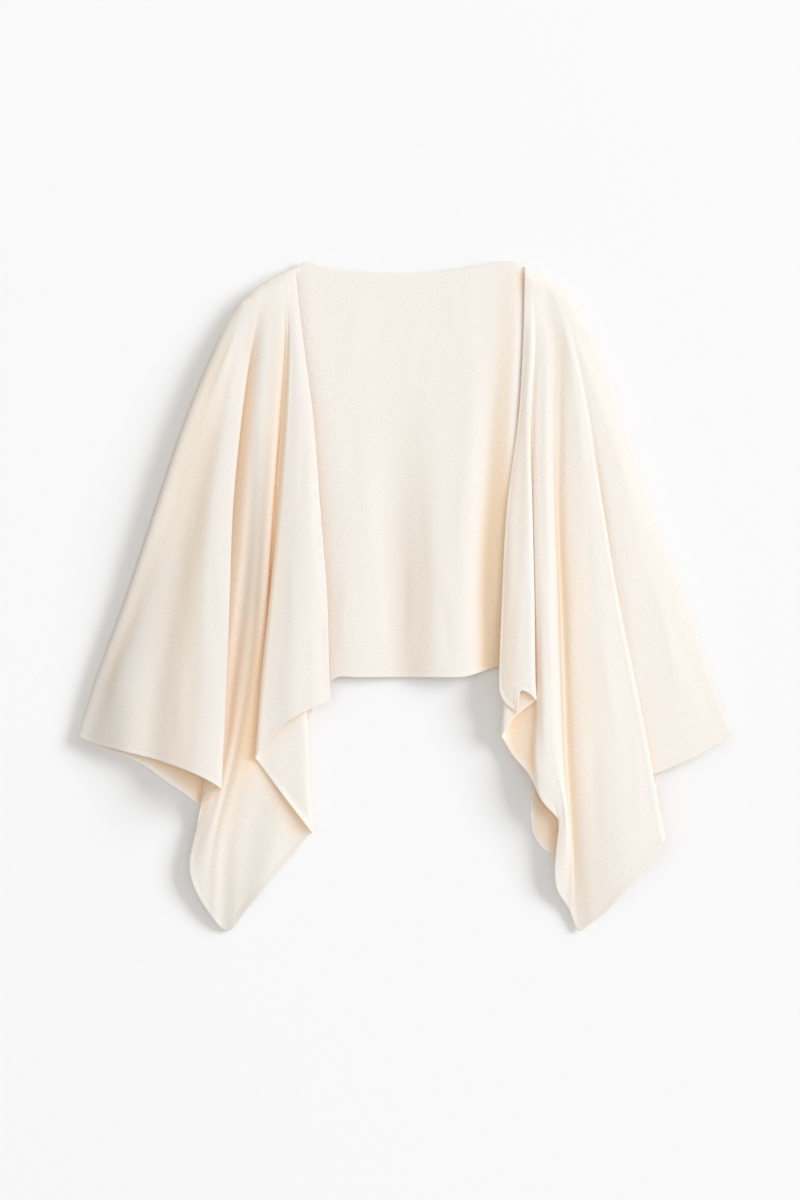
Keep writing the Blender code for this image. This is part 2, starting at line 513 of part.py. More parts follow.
cape = bpy.data.collections.new("knit_cape")
bpy.context.scene.collection.children.link(cape)
add_back(cape)
add_front("left", LEFT_FRONT_FOLDS, cape)
add_front("right", RIGHT_FRONT_FOLDS, cape)
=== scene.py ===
"""Looks for the knit cape: fine cloth shells on the CAD pieces' own fold lines, a brushed knit, a pale
floor, soft light from the right, and a camera looking straight down. The fold tables are the CAD's own,
in millimetres."""

import bpy
import numpy as np
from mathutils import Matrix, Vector


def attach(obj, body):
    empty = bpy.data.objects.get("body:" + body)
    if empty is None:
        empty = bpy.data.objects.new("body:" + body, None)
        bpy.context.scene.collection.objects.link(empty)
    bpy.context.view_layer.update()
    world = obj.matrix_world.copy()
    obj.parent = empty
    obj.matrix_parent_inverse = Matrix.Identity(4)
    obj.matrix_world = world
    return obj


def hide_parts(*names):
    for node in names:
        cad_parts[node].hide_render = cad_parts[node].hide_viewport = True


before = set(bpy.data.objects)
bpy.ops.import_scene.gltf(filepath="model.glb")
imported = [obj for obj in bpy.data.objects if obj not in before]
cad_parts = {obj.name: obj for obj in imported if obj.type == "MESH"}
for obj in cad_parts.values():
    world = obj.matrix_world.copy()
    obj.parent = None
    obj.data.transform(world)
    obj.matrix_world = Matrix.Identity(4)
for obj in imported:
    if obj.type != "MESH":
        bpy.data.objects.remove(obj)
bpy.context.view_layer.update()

MM = 0.001  # metres in a millimetre

# Sizes of the CAD, in millimetres
CLOTH = 2.0  # thickness of the knit, with its loft
BAND_WIDTH = 8.0  # width of the band along the free edges
ARM_GAP = 0.3  # space between the front and the back along the arm line
ARM_RIM = 0.7  # height of the upright rim each of them has there
ROLL_OVER = 19.0  # how far in from the arm line the front takes to round over to its full height
PLEAT_START = 20.0  # the pleats begin to rise this far below the shoulder
PLEAT_REACH = 75.0  # and are at full height after this much more
ROLL_UNDER = 7.0  # how far in from the arm line the back takes to come down to the surface
SEAM_HIGH = 8.0  # height of the arm line at the shoulder
SEAM_LOW = 5.0  # height of the arm line at the wrist
SHOULDER_Y = 320.0  # the arm line begins to sink here
WRIST_Y = -180.0  # and is at its lowest here
FOLD_SIDE = 3.0  # a pleat's sheet stays flat up to this far from its fold line
FOLD_RISE = 3.2  # and rounds over by up to this much, above and below the fold line
FOLD_SHARE = 0.85  # but by no more than this share of the layer's own rise or fall
TRIM_ZONE = 40.0  # a trimmed sheet closes up its last lines over this length
CENTRE_X = -1.5  # middle of the laid garment in the tables' own axes
CENTRE_Y = 0.5
STEPS = 10  # points on the smooth sheet between two places of a table
NEAR_HEM = 18  # fine columns to each side whose hem counts when a column is cut back from it

# Light and colour
SKY = 0.60  # strength of the even sky
SKY_TINT = (1.0, 0.98, 0.935)
LAMP_TINT = (0.91, 0.935, 1.0)
# Each lamp's x, y, z, width and height in metres, and its watts. The floor and the cape have two each.
FLOOR_LIGHT = (29.0, 10.8, 11.0, 22.0, 9.0, 13100.0)
FLOOR_FILL = (-6.0, 0.0, 8.0, 9.0, 9.0, 130.0)
CLOTH_LIGHT = (9.3, 3.0, 8.36, 9.2, 9.2, 935.0)
CLOTH_TOP_LIGHT = (0.6, 0.0, 12.0, 4.0, 4.0, 255.0)
CREAM = (0.9, 0.851, 0.785)
PAINTED_SHADE_CREAM = (0.97, 0.75, 0.53)  # painted shade: the orange-cream the knit's colour is tinted to where it lies low between folds
SHADE = 0.5  # painted shade: how much darker the knit's colour is made where it counts as wholly shaded
LIFT = 0.14  # painted light: how far below nothing the painted shade may go, where the knit's colour is made brightest

# Sizes of the visual cloth, in millimetres
BAND_CLOTH = 2.06  # thickness of a band
FLOOR_CLEAR = 0.02  # the underside stays at least this far above the surface
SPACING = 3.75  # between points across a front
SPACING_DOWN = 4.35  # between points down a front
BACK_SPACING = 4.8  # between points of the back, both ways
LEAST_LINES = 3  # lines between two fold lines, at least
SEAM_LINES = 4  # and this many more beside an arm line
NEAR_TOP = 24.0  # lines lie closer together within this distance of the shoulder
TOP_LINES = 9  # number of those lines
CLOSER = 1.8  # power by which lines draw closer towards the shoulder and the arm lines
JOIN_LAP = 2.0  # a panel runs this far under its band
EDGE_LINE = 0.5  # the last line but one lies this far from a cut edge
EDGE_THIN = 0.75  # share of the thickness left at a cut edge, under the band
NECK_THIN = (0.3, 0.85)  # and shares left on the first two lines at the neckline
HEM_CURL = 0.8  # the free edges curl up by about this much
CURL_BASE = 0.7  # share of it that is the same all along
CURL_WAVES = ((0.3, 23.0, 0.0), (0.25, 9.0, 1.3))  # and waves in it: share, length for one radian, start
# The edges curl up more at these places: x, y, reach, height
CURLS = (
    (-142, -252, 28, 2.4), (-124, -284, 18, 2.0), (-150, -320, 26, 2.2), (-184, -366, 34, 1.8),
    (-212, -400, 18, 0.9), (-246, -268, 26, 1.0), (-251, -330, 30, 0.6), (-252, -248, 12, 1.2),
    (-104, -134, 14, 0.5), (-330, -196, 40, 0.3), (121, -124, 14, 1.0), (138, -143, 14, 1.2),
    (126, -172, 16, 0.8), (192, -286, 22, 1.0), (186, -342, 18, 0.6), (262, -380, 30, 0.7),
    (318, -306, 16, 0.6), (352, -205, 30, 0.4),
)
CREASE_BEND = 0.6  # a crease bends sideways by up to this share of its half width
CREASE_FADE = 0.35  # and fades in and out over this share of its length
# Soft creases, each a ridge or a trough: x, y at one end, x, y at the other, half width and height
BACK_CREASES = (
    (-58, 396, -70, 262, 9, 0.5), (-20, 388, -34, 300, 7, -0.45), (18, 396, 6, 236, 10, 0.45),
    (64, 398, 58, 318, 7, 0.5), (96, 404, 84, 286, 8, -0.5), (-48, 190, -52, 20, 8, 0.55),
    (-24, 118, -22, -96, 7, -0.6), (4, 60, 6, -98, 6, 0.6), (26, 150, 24, -40, 8, -0.5),
    (46, 20, 50, -100, 6, -0.7), (68, 172, 70, 26, 7, 0.5), (-76, 40, -74, -98, 6, 0.6),
    (36, 318, 40, 214, 8, -0.4), (-70, 236, -60, 130, 9, -0.4), (-300, 60, -330, -90, 9, 0.6),
    (300, 90, 336, -60, 9, 0.6),
)
LEFT_CREASES = (
    (-212, 330, -252, 190, 8, 0.4), (-262, 214, -312, 30, 9, -0.35), (-300, 92, -352, -96, 8, 0.35),
    (-292, 6, -318, -166, 7, -0.4), (-262, 120, -276, -30, 7, 0.35), (-338, -20, -368, -150, 9, 0.3),
    (-270, -60, -282, -206, 6, 0.7), (-238, 60, -238, -80, 5, -0.5), (-128, 250, -132, 90, 6, -0.6),
    (-142, 60, -146, -70, 6, 0.6), (-112, 20, -106, -110, 6, -0.6), (-190, -250, -208, -372, 8, -0.35),
    (-160, -252, -196, -330, 7, 0.35), (-198, 210, -212, 60, 5, 0.5), (-320, 100, -300, 250, 6, 0.4),
    (-165, 260, -186, -110, 5, 1.2),
)
RIGHT_CREASES = (
    (210, 348, 262, 190, 9, -0.6), (240, 300, 316, 110, 8, 0.6), (276, 160, 342, -30, 9, -0.7),
    (300, 40, 352, -140, 7, 0.7), (330, -30, 384, -168, 7, -0.5), (262, 60, 300, -150, 7, 0.6),
    (226, 120, 238, -60, 7, -0.6), (246, -20, 262, -190, 8, 0.7), (232, -150, 246, -330, 8, -0.7),
    (280, -150, 292, -300, 7, 0.6), (206, 40, 210, -120, 5, 0.5), (186, 160, 190, -30, 5, -0.6),
    (172, 40, 182, -140, 5, 0.6), (134, 140, 126, -40, 6, 0.6), (148, 40, 144, -100, 5, -0.6),
    (212, 250, 226, 150, 6, 0.5),
)
BAND_LINES = (1.0, 0.78, 0.6, 0.42, 0.26, 0.14, 0.05, 0.0)  # lines along a band, as shares of its width
BAND_ROUND = (0.9, 1.0, 1.0, 1.0, 1.0, 0.9, 0.62, 0.2)  # and the share of its thickness there

# How far down a place lies between its neighbours, which sets how much painted shade tint its colour gets.
# Each side on which the cloth is looked at: its angle, its share, and the rise that doesn't count there
SIDES = (
    (0, 0.26, 0.5), (40, 0.22, 0.5), (80, 0.10, 0.5), (130, 0.04, 8.0),
    (180, 0.06, 8.0), (-130, 0.04, 8.0), (-80, 0.08, 0.5), (-40, 0.20, 0.5),
)
OPEN_REACH = 10.0  # a place that has the bare floor this near loses part of its painted shade tint
OPEN_GAIN = 0.8  # the most of its depth that such a place loses
OPEN_RISE = 2.5  # the share of its sides that are bare counts this many times, up to 1
LOOK = (4.0, 7.0, 10.0, 14.0, 19.0, 25.0, 32.0, 40.0)  # distances at which each side is looked at
CELL = 2.5  # width of the cells in which the topmost cloth is noted
AROUND = ((0, 0), (2, 0), (-2, 0), (0, 2), (0, -2))  # cells that all lie above a place that is hidden
COVERED = 8.0  # a layer this far above a place hides it
COVERED_DEEP = 0.25  # depth that a hidden place has in addition
SHADE_TINT_FROM = 0.04  # depth at which the painted shade tint begins
SHADE_TINT_TO = 0.52  # depth at which the painted shade tint is full
SHADING_START = 0.15  # the painted shading in the tables below comes in over this share of the way down
QUARTERS = (0.0, 0.25, 0.5, 0.75, 1.0)
# Fold lines along which shade and light are painted into the knit's colour: name, half width, then how much
# orange-cream shade tint and how much painted darkening it gets at the shoulder, a quarter, half and three
# quarters of the way down, and at the hem. An amount below nothing takes shade tint away, or paints light.
LEFT_PAINTED_SHADING = (
    ("arm_seam", 8.0, (0.0, 0.0, 0.0, 0.0, 0.0), (0.35, 0.45, 0.55, 0.4, 0.2)),
    ("roll_in", 14.0, (0.0, 0.0, 0.0, 0.0, 0.0), (0.15, 0.0, 0.0, 0.12, 0.4)),
    ("plateau", 24.0, (0.0, 0.0, 0.0, 0.0, 0.1), (0.0, -0.14, -0.06, 0.24, 0.5)),
    ("trough", 16.0, (0.0, 0.0, 0.05, 0.05, 0.0), (0.0, 0.02, 0.22, 0.26, 0.3)),
    ("ridge_side", 6.0, (0.0, 0.0, 0.0, 0.0, 0.0), (0.0, 0.15, 0.16, 0.2, 0.1)),
    ("under_turn", 8.0, (0.1, 0.3, 0.3, 0.3, 0.1), (0.05, 0.2, 0.2, 0.25, 0.2)),
    ("strip_in", 15.0, (0.0, 0.2, 0.3, 0.3, 0.0), (0.1, 0.2, 0.5, 0.6, 0.1)),
    ("strip_top", 15.0, (0.0, 0.0, 0.05, 0.6, 0.05), (0.0, 0.1, 0.5, 0.5, 0.1)),
    ("strip_low", 10.0, (0.05, 0.15, 0.3, 0.7, 0.0), (0.05, 0.15, 0.4, 0.4, 0.2)),
    ("cleft", 12.0, (0.1, 0.1, 0.0, 0.4, 0.0), (0.0, 0.0, 0.0, 0.05, 0.4)),
    ("pendant_mid", 26.0, (0.0, 0.0, 0.0, 0.0, 0.0), (0.0, 0.0, 0.0, 0.0, 0.25)),
    ("f_top", 18.0, (0.0, 0.0, 0.0, 0.05, 0.0), (0.0, 0.0, 0.1, 0.16, 0.2)),
    ("f_slope", 12.0, (0.0, 0.0, 0.0, 0.0, 0.0), (0.1, 0.15, 0.1, 0.1, 0.1)),
)
RIGHT_PAINTED_SHADING = (
    ("arm_seam", 12.0, (0.0, 0.0, 0.0, 0.0, 0.0), (0.15, 0.15, 0.15, 0.15, 0.15)),
    ("b_low", 16.0, (0.0, 0.05, 0.25, 0.2, 0.1), (0.0, 0.0, 0.0, -0.06, 0.05)),
    ("b_wall", 9.0, (0.0, 0.05, 0.35, 0.4, 0.15), (0.0, 0.0, 0.0, 0.0, 0.2)),
    ("valley", 7.0, (0.0, 0.15, 0.85, 0.9, 0.2), (0.1, 0.1, 0.16, 0.05, 0.1)),
    ("s2_wall", 4.5, (0.0, 0.2, 1.0, 1.0, 0.3), (0.1, 0.1, 0.25, 0.2, 0.1)),
    ("s2_side", 6.0, (0.0, 0.0, 0.0, 0.0, 0.0), (-0.1, -0.14, -0.14, -0.14, -0.1)),
    ("s2_in", 5.0, (-0.4, -0.5, -0.5, -0.5, -0.2), (-0.1, -0.14, -0.14, -0.14, 0.0)),
    ("s2_foot", 7.0, (-0.6, -0.8, -0.8, -0.5, 0.4), (-0.14, -0.14, -0.14, -0.14, 0.0)),
    ("s2_under", 14.0, (-0.3, -0.4, -0.2, 0.2, 0.5), (-0.14, -0.14, -0.1, 0.0, 0.0)),
    ("s1_side", 6.0, (-0.3, -0.4, -0.2, -0.1, 0.0), (-0.14, -0.14, -0.14, -0.1, 0.0)),
    ("s1_slope", 10.0, (-0.3, -0.4, -0.1, 0.1, 0.2), (-0.14, -0.14, -0.12, -0.08, 0.0)),
)
BACK_PAINTED_SHADING = (
    ("trough_1", 14.0, (0.0, 0.0, 0.0, 0.1, 0.1), (0.0, 0.0, 0.03, 0.1, 0.1)),
    ("rise", 16.0, (0.0, 0.0, 0.05, 0.12, 0.15), (0.0, 0.0, 0.07, 0.18, 0.18)),
    ("foot", 9.0, (0.0, 0.0, 0.15, 0.6, 0.6), (0.0, 0.0, 0.07, 0.26, 0.28)),
    ("neck_r", 11.0, (0.0, 0.1, 0.5, 1.0, 1.0), (0.0, 0.02, 0.12, 0.2, 0.2)),
    ("under_s1", 8.0, (-0.6, -0.8, -0.8, -0.6, -0.3), (-0.14, -0.2, -0.3, -0.3, -0.2)),
    ("tongue_r", 20.0, (0.0, 0.0, 0.0, 0.0, 0.3), (0.0, 0.0, 0.0, 0.1, 0.25)),
)

FRONT_LEVELS = (322, 222, 112, 2, -108)  # the levels that cross a front, as Y
BACK_LEVELS = (322, 222, 112, 2)  # and the back

# One row for each fold line, in order from the arm line to the front edge.
# name, (x, y) at the shoulder, x at each level, (x, y) of two points below the levels or None where the
# line runs straight, (x, y) at the hem, height at each of these places from the shoulder to the hem.
# A name that ends in _fold is a pleat's fold, where one layer turns back over the next.
LEFT_FRONT_FOLDS = (
    ("arm_seam", (-204, 368), (-232.5, -275, -312.5, -349, -389), None, (-409, -175.5),
     (14, 17, 18, 18, 15, 11, 8)),
    ("roll_in", (-200, 371), (-219, -260, -297.5, -334, -374), None, (-394, -182.5),
     (15, 18, 18.5, 17.5, 14, 10.5, 8.5)),
    ("plateau", (-196, 374.5), (-215, -249, -279, -315, -357), None, (-367.5, -189.5),
     (15, 19.5, 22, 22.5, 19.8, 15.8, 12.5)),
    ("trough", (-192.5, 378), (-209, -236, -259, -280, -300), None, (-307, -205),
     (15, 19.5, 25.5, 28, 25.8, 21.8, 17.5)),
    ("ridge_top", (-189, 382), (-202.5, -221, -240, -247.5, -249), None, (-260, -222),
     (15, 19.5, 30, 35.5, 37.3, 37, 32)),
    ("ridge_side", (-184, 385), (-195, -208.5, -219.5, -223.5, -227.5), None, (-236, -235),
     (15, 18.5, 29, 35, 37, 36.5, 31.5)),
    ("ridge_edge", (-181, 387), (-192, -205.5, -216, -220, -224), None, (-230.5, -240),
     (14.8, 16.5, 23, 28, 30, 29.5, 25.5)),
    ("under_ridge", (-179, 388), (-191.5, -209, -221.5, -231.5, -238), None, (-242, -246),
     (14.6, 14.2, 13.5, 13, 13.5, 15, 16.5)),
    ("under_turn", (-176, 389.5), (-190, -207, -220, -233, -246), None, (-251, -252),
     (14.4, 12.8, 9.5, 7, 6.8, 8, 13)),
    ("strip_in", (-174, 391), (-187, -200.5, -211.5, -225, -238), ((-242, -173), (-251, -235.5)),
     (-260.5, -284.5), (14.3, 13.6, 12, 9, 6.5, 5, 5.2, 6, 7.5)),
    ("strip_top", (-169, 394.5), (-177, -183, -188, -198, -212), ((-224, -198), (-247.5, -292)),
     (-270, -344.5), (14.2, 16.5, 17.8, 14.5, 10, 7.8, 8.4, 13.5, 8.5)),
    ("strip_low", (-162.5, 397.5), (-165.5, -171, -176, -183, -195), ((-213, -204.5), (-238, -310.5)),
     (-243, -400), (14, 15, 16, 15, 13.5, 11.5, 8.8, 12.5, 6)),
    ("cleft", (-157.5, 400.5), (-154.5, -160, -168, -175, -187), ((-199.5, -210.5), (-219, -308)),
     (-222.5, -418), (13.8, 13.4, 13, 13, 13, 11, 7, 4.4, 2)),
    ("pendant_mid", (-155, 402), (-152, -158, -165, -169, -162.5), ((-161, -217), (-176, -306)),
     (-198, -390), (13.5, 12, 8.8, 7.6, 7, 6, 5.4, 4.8, 3)),
    ("sr_fold", (-152.5, 403), (-150, -155.5, -162, -152, -129), ((-122.5, -173), (-121, -242)),
     (-117.5, -294.5), (13.2, 12.6, 9.2, 8, 8.5, 9, 9, 8.4, 7)),
    ("r_mid", (-150, 404.5), (-148, -153.5, -160.5, -160.5, -152.5), ((-152.5, -148), (-152, -200.5)),
     (-152.5, -249.5), (13, 13.6, 12, 11.5, 12.5, 13, 13, 12.2, 10.6)),
    ("rf_fold", (-147.5, 405.5), (-145.5, -150, -158.5, -169, -180.5), None, (-188, -202),
     (12.6, 15.5, 16.5, 17, 17.5, 17.5, 14.5)),
    ("f_side", (-145.6, 406.4), (-142, -145, -152, -161, -172.5), None, (-174.5, -184.5),
     (12.2, 16.8, 20, 21.5, 22, 22, 19.5)),
    ("f_top", (-143.6, 407.3), (-137, -134.5, -135.5, -140.5, -150), None, (-149, -157.5),
     (11.6, 16.6, 21.5, 24, 25, 24.8, 22.5)),
    ("f_slope", (-141.2, 408.3), (-133, -124, -120, -118, -120), None, (-119, -140.5),
     (10.8, 14.2, 19.2, 21.8, 22.5, 21, 18.5)),
    ("front_edge", (-138.6, 409.4), (-128.5, -115.5, -107, -98.5, -95.5), None, (-94, -130.5),
     (9.8, 10.8, 15, 17, 17.5, 15, 11.5)),
)

RIGHT_FRONT_FOLDS = (
    ("arm_seam", (205, 372), (230, 266, 302.5, 344, 381), None, (406, -174.5),
     (13, 16, 17, 16, 14, 11, 8)),
    ("roll_in", (201, 375), (217.5, 254, 289, 329, 366), None, (391, -182.5),
     (14, 17.5, 18.5, 18, 15.5, 12.5, 9.5)),
    ("arm_mid", (197.5, 379), (212.5, 244, 275, 306, 339), None, (357.5, -202),
     (14, 18, 19, 19, 17.5, 15, 11)),
    ("arm_in", (194, 382), (209, 233, 252.5, 272.5, 295), None, (317.5, -219),
     (14, 17.5, 18.5, 18.5, 17.5, 15, 10.5)),
    ("arm_under", (191, 384), (207.5, 229, 242.5, 255.5, 269), None, (289, -230.5),
     (14, 17.5, 17.5, 15, 14, 12, 6.5)),
    ("ab_fold", (189.5, 385), (206.5, 226, 238, 242, 250), None, (274, -245.5),
     (14, 18, 18.5, 16.5, 15, 14, 9.5)),
    ("v_mid", (187.5, 386), (206, 226.5, 241, 253, 269), ((279, -160.5), (289, -217)),
     (300, -277), (14, 18.6, 19.6, 19.4, 18, 17.3, 16, 13.6, 11)),
    ("b_fold", (185.5, 387.5), (204.5, 226, 244.5, 263, 285.5), ((299, -175.5), (312.5, -250.5)),
     (322.5, -302), (14, 19, 21, 21.5, 21, 20.5, 19.5, 17.2, 14.5)),
    ("b_side", (183, 389), (203, 222, 239, 256, 276), ((290, -185.5), (302.5, -267)),
     (310.5, -324.5), (14, 19.4, 22.5, 24.3, 24.6, 24.4, 23.3, 21, 17)),
    ("b_top", (180.5, 390), (200.5, 214.5, 227, 239.5, 251), ((260, -204.5), (270, -292)),
     (276, -365.5), (14, 19.2, 23, 25, 25.8, 26, 25, 22, 14)),
    ("b_low", (177.5, 391), (198, 205.5, 210, 217, 224), ((229.5, -210.5), (235, -304.5)),
     (245, -398), (13.8, 18.3, 22, 24, 25, 25, 23.2, 18, 7)),
    ("b_wall", (175, 392.5), (194.5, 198, 199, 203, 207), ((212, -217), (217.5, -317)),
     (227.5, -410.5), (13.6, 17.2, 20.6, 22.6, 23.6, 23.2, 20.5, 14, 4.5)),
    ("valley", (172.5, 394), (190, 192, 191, 195, 199.5), ((203, -217), (209, -317)),
     (216, -418), (13.4, 16.6, 18.8, 20.4, 21, 20.6, 17.3, 11.3, 2.6)),
    ("s2_wall", (170, 395), (186, 185, 186, 190, 193), ((197.5, -217), (206, -310.5)),
     (203, -390.5), (13.4, 16.8, 19.8, 21.4, 22.2, 21.6, 18.8, 13.2, 4.5)),
    ("s2_top", (167.5, 396), (179.5, 179, 181, 184.5, 187), ((191.5, -210.5), (200.5, -300)),
     (187.5, -363), (13.6, 18, 21.5, 23, 23.5, 23.5, 22.5, 17.5, 9)),
    ("s2_wave", (165.5, 397), (174.5, 174, 175, 177.5, 179.5), ((184.5, -198), (195, -270)),
     (186.5, -320), (13.6, 18.5, 22.5, 24.5, 25.5, 26, 24.8, 19.4, 12.5)),
    ("s2_side", (163.5, 398), (169.5, 168, 168, 170.5, 172), ((175, -185.5), (181, -236)),
     (192, -284), (13.5, 17.5, 21, 23, 24.8, 25.5, 25, 22, 16)),
    ("s2_in", (162, 399.2), (165, 161.8, 160.8, 163, 165.2), ((164.8, -164.5), (163, -210.5)),
     (169, -254.5), (13.3, 16, 19, 20.5, 21.8, 20.6, 21.5, 21.5, 19)),
    ("s2_foot", (160.5, 400), (163, 159.5, 159, 159.5, 158), None, (153, -222),
     (13.2, 15.2, 16.6, 17.2, 16.6, 12, 13)),
    ("s2_under", (159.5, 401), (161.5, 157, 155, 151, 141), None, (132.5, -198),
     (13.1, 14, 13.2, 11.4, 9.6, 8, 8)),
    ("u_fold", (158.5, 402), (160.5, 154.5, 150.5, 140.5, 124), None, (119, -174.5),
     (13, 14, 13.8, 13.2, 13.3, 13.5, 13)),
    ("r1_mid", (157.5, 402.8), (159, 154, 153, 149, 140), None, (136, -150.5),
     (13, 15, 16.6, 17, 17.6, 18, 17)),
    ("s1_fold", (156.5, 403.8), (158, 154, 156.5, 159, 160.5), None, (162, -129.5),
     (12.9, 17, 19.6, 21.2, 23.2, 24.2, 22)),
    ("s1_side", (154.5, 405.5), (155.5, 151, 153, 154.5, 154.5), None, (152.5, -120.5),
     (12.6, 16.8, 19.4, 22.4, 25.4, 26.8, 26)),
    ("s1_top", (152.5, 407.2), (152.5, 147, 145.5, 144, 141), None, (143, -117.5),
     (12, 15.2, 17.2, 20.4, 24.2, 26, 26)),
    ("s1_slope", (150, 408.8), (149.5, 143.5, 135, 131, 129), ((131, -117), (135.5, -123)),
     (141, -131), (11.2, 13.2, 14.8, 17.2, 20.4, 23, 24.4, 24.6, 23.6)),
    ("front_edge", (148, 410.5), (146, 140, 125.5, 119.5, 116), ((117, -120.5), (125, -134.5)),
     (139.5, -145), (10.2, 11.4, 12.8, 13.4, 15.4, 17.6, 19.4, 20, 20)),
)

# The back, from the left arm line to the right one.
BACK_FOLDS = (
    ("arm_seam_l", (-204, 368), (-232.5, -275, -312.5, -349), ((-369, -54.5), (-389.5, -110)),
     (-409, -175.5), (1, 1, 1, 1, 1, 1, 1, 1.1)),
    ("roll_in_l", (-200, 371), (-219, -260, -297.5, -334), None, (-392.5, -184.5), (1, 1, 1, 1, 1, 1.1)),
    ("under_arm_l", (-190, 380.5), (-207.5, -240, -264, -287.5), None, (-332.5, -208),
     (1, 1, 1, 1, 1, 2.5)),
    ("under_ridge_l", (-177.5, 389.5), (-192.5, -212.5, -230, -247.5), None, (-287.5, -239.5),
     (1, 1, 1, 1, 1, 2)),
    ("tongue_l", (-164, 397), (-174, -186, -196, -204), ((-210, -107), (-211, -195)),
     (-211, -280), (1, 1, 1, 1, 1, 1, 1, 1.1)),
    ("under_front_l", (-149, 405), (-154, -156, -156, -152.5), None, (-151, -214.5),
     (3, 1.6, 1.2, 1, 1, 1.1)),
    ("neck_l", (-136, 410.5), (-131, -122.5, -114, -106), None, (-102.5, -114.5),
     (4.4, 3.8, 2.8, 2.6, 2.8, 2.8)),
    ("back_edge_l", (-126, 418), (-117.5, -105, -92.5, -86), None, (-85, -101), (5.6, 4.8, 4.2, 4.4, 5, 4.8)),
    ("wave_1", (-105, 412), (-95, -80, -70, -65), None, (-64, -101), (5.5, 4.5, 4.5, 5.5, 6.5, 6.5)),
    ("wave_2", (-76, 407), (-64, -50, -42.5, -37.5), None, (-35, -101), (5, 4.5, 4.5, 5.2, 5.8, 5.5)),
    ("trough_1", (-39, 404.5), (-27.5, -19, -10, -4), None, (-4, -101), (4.5, 4, 3.8, 3.4, 3.6, 3.6)),
    ("rise", (-1, 403.5), (5, 9, 12.5, 16), None, (17.5, -101), (4.5, 4, 4.4, 5.4, 7.2, 7)),
    ("crest", (30, 405), (32.5, 34, 35, 37.5), None, (39, -101), (4.5, 4.6, 6.2, 8.8, 11.5, 10.5)),
    ("wave_3", (57.5, 408), (61, 61, 59, 57.5), None, (59, -101), (5, 5.4, 7.4, 10.6, 13, 12)),
    ("ridge", (82.5, 411.5), (85, 82.5, 77.5, 74), None, (75, -100), (5.5, 6.5, 8.8, 11.5, 12.6, 11)),
    ("fall", (105, 415.5), (104, 96, 90, 86), None, (89, -96), (5.5, 6, 7.2, 8.8, 9, 7.5)),
    ("foot", (121, 419), (117.5, 107.5, 101, 97.5), None, (101, -92), (6, 6.2, 5.8, 5.6, 5.2, 4)),
    ("neck_r", (135, 417.5), (129, 121, 115, 111), None, (115, -88), (6.4, 7.4, 7.8, 8, 7.8, 5.4)),
    ("under_s1", (148, 410.5), (142.5, 137.5, 134, 131), None, (134, -94.5), (4.2, 8, 9.4, 10, 9.6, 5)),
    ("under_s2", (156, 402.5), (156, 155, 154, 154), None, (159, -134.5), (1.2, 1, 1, 1, 1, 1.1)),
    ("tongue_r", (165, 397.5), (169, 171, 174, 177.5), ((173, -117), (168, -223)), (160, -299.5),
     (1, 1, 1, 1, 1, 1, 1, 1.1)),
    ("tongue_corner", (175, 392.5), (184, 192.5, 202.5, 214), ((211, -129.5), (199, -242)),
     (187.5, -325.5), (1, 1, 1, 1, 1, 1, 1, 1.1)),
    ("under_b", (185, 387.5), (197.5, 217.5, 236, 257.5), ((257.5, -129.5), (250, -242)),
     (242.5, -344.5), (1, 1, 1, 1, 1, 1, 1, 1.1)),
    ("under_b2", (192.5, 383), (206, 234, 261, 292.5), ((292.5, -117), (292.5, -204.5)),
     (294, -282), (1, 1, 1, 1, 1, 1, 1, 1.1)),
    ("under_arm_r", (197.5, 379), (212.5, 244, 276, 311), None, (322.5, -215.5), (1, 1, 1, 1, 1, 1.5)),
    ("roll_in_r", (201, 375), (217.5, 254, 289, 329), None, (367.5, -196), (1, 1, 1, 1, 1, 1.1)),
    ("arm_seam_r", (205, 372), (230, 266, 302.5, 344), ((363.5, -55.5), (382, -110)),
     (406, -174.5), (1, 1, 1, 1, 1, 1, 1, 1.1)),
)

NECKLINE = ("neck_l", "under_s1")  # the open neckline runs between these two
# The back's bands: node, and the fold lines at which it starts and ends
BACK_BANDS = (
    ("back_left_cuff_band", "arm_seam_l", "tongue_l"),
    ("back_hem_band", "neck_l", "under_s1"),
    ("back_right_cuff_band", "under_arm_r", "arm_seam_r"),
)


def fold_net(rows, levels):
    """The table as a net of points, one line of it for each fold line."""
    net = []
    for _name, top, xs, low, hem, heights in rows:
        places = [top] + list(zip(xs, levels))
        heights = list(heights)
        if low is None:
            start = np.array((*places[-1], heights[-2]))
            end = np.array((*hem, heights[-1]))
            thirds = [start + (end - start) * k / 3 for k in (1, 2)]
            points = [(*place, z) for place, z in zip(places, heights)] + thirds
        else:
            points = [(*place, z) for place, z in zip(places + list(low), heights)]
        net.append(points + [(*hem, heights[-1])])
    net = np.array(net, dtype=float)
    lines = []
    for k, row in enumerate(rows):
        if not row[0].endswith("_fold"):
            lines.append(net[k])
            continue
        lines += [beside_fold(net[k], net[k - 1]), net[k], beside_fold(net[k], net[k + 1])]
    return np.array(lines)


def beside_fold(fold, layer):
    """A line close to a fold line, on the side and at nearly the height of the layer that leaves it."""
    step = layer - fold
    reach = np.linalg.norm(step[:, :2], axis=1)
    share = np.minimum(FOLD_SIDE, reach / 2) / np.maximum(reach, 1e-6)
    line = fold.copy()
    line[:, :2] += step[:, :2] * share[:, None]
    line[:, 2] += np.sign(step[:, 2]) * np.minimum(FOLD_RISE, FOLD_SHARE * np.abs(step[:, 2]))
    return line


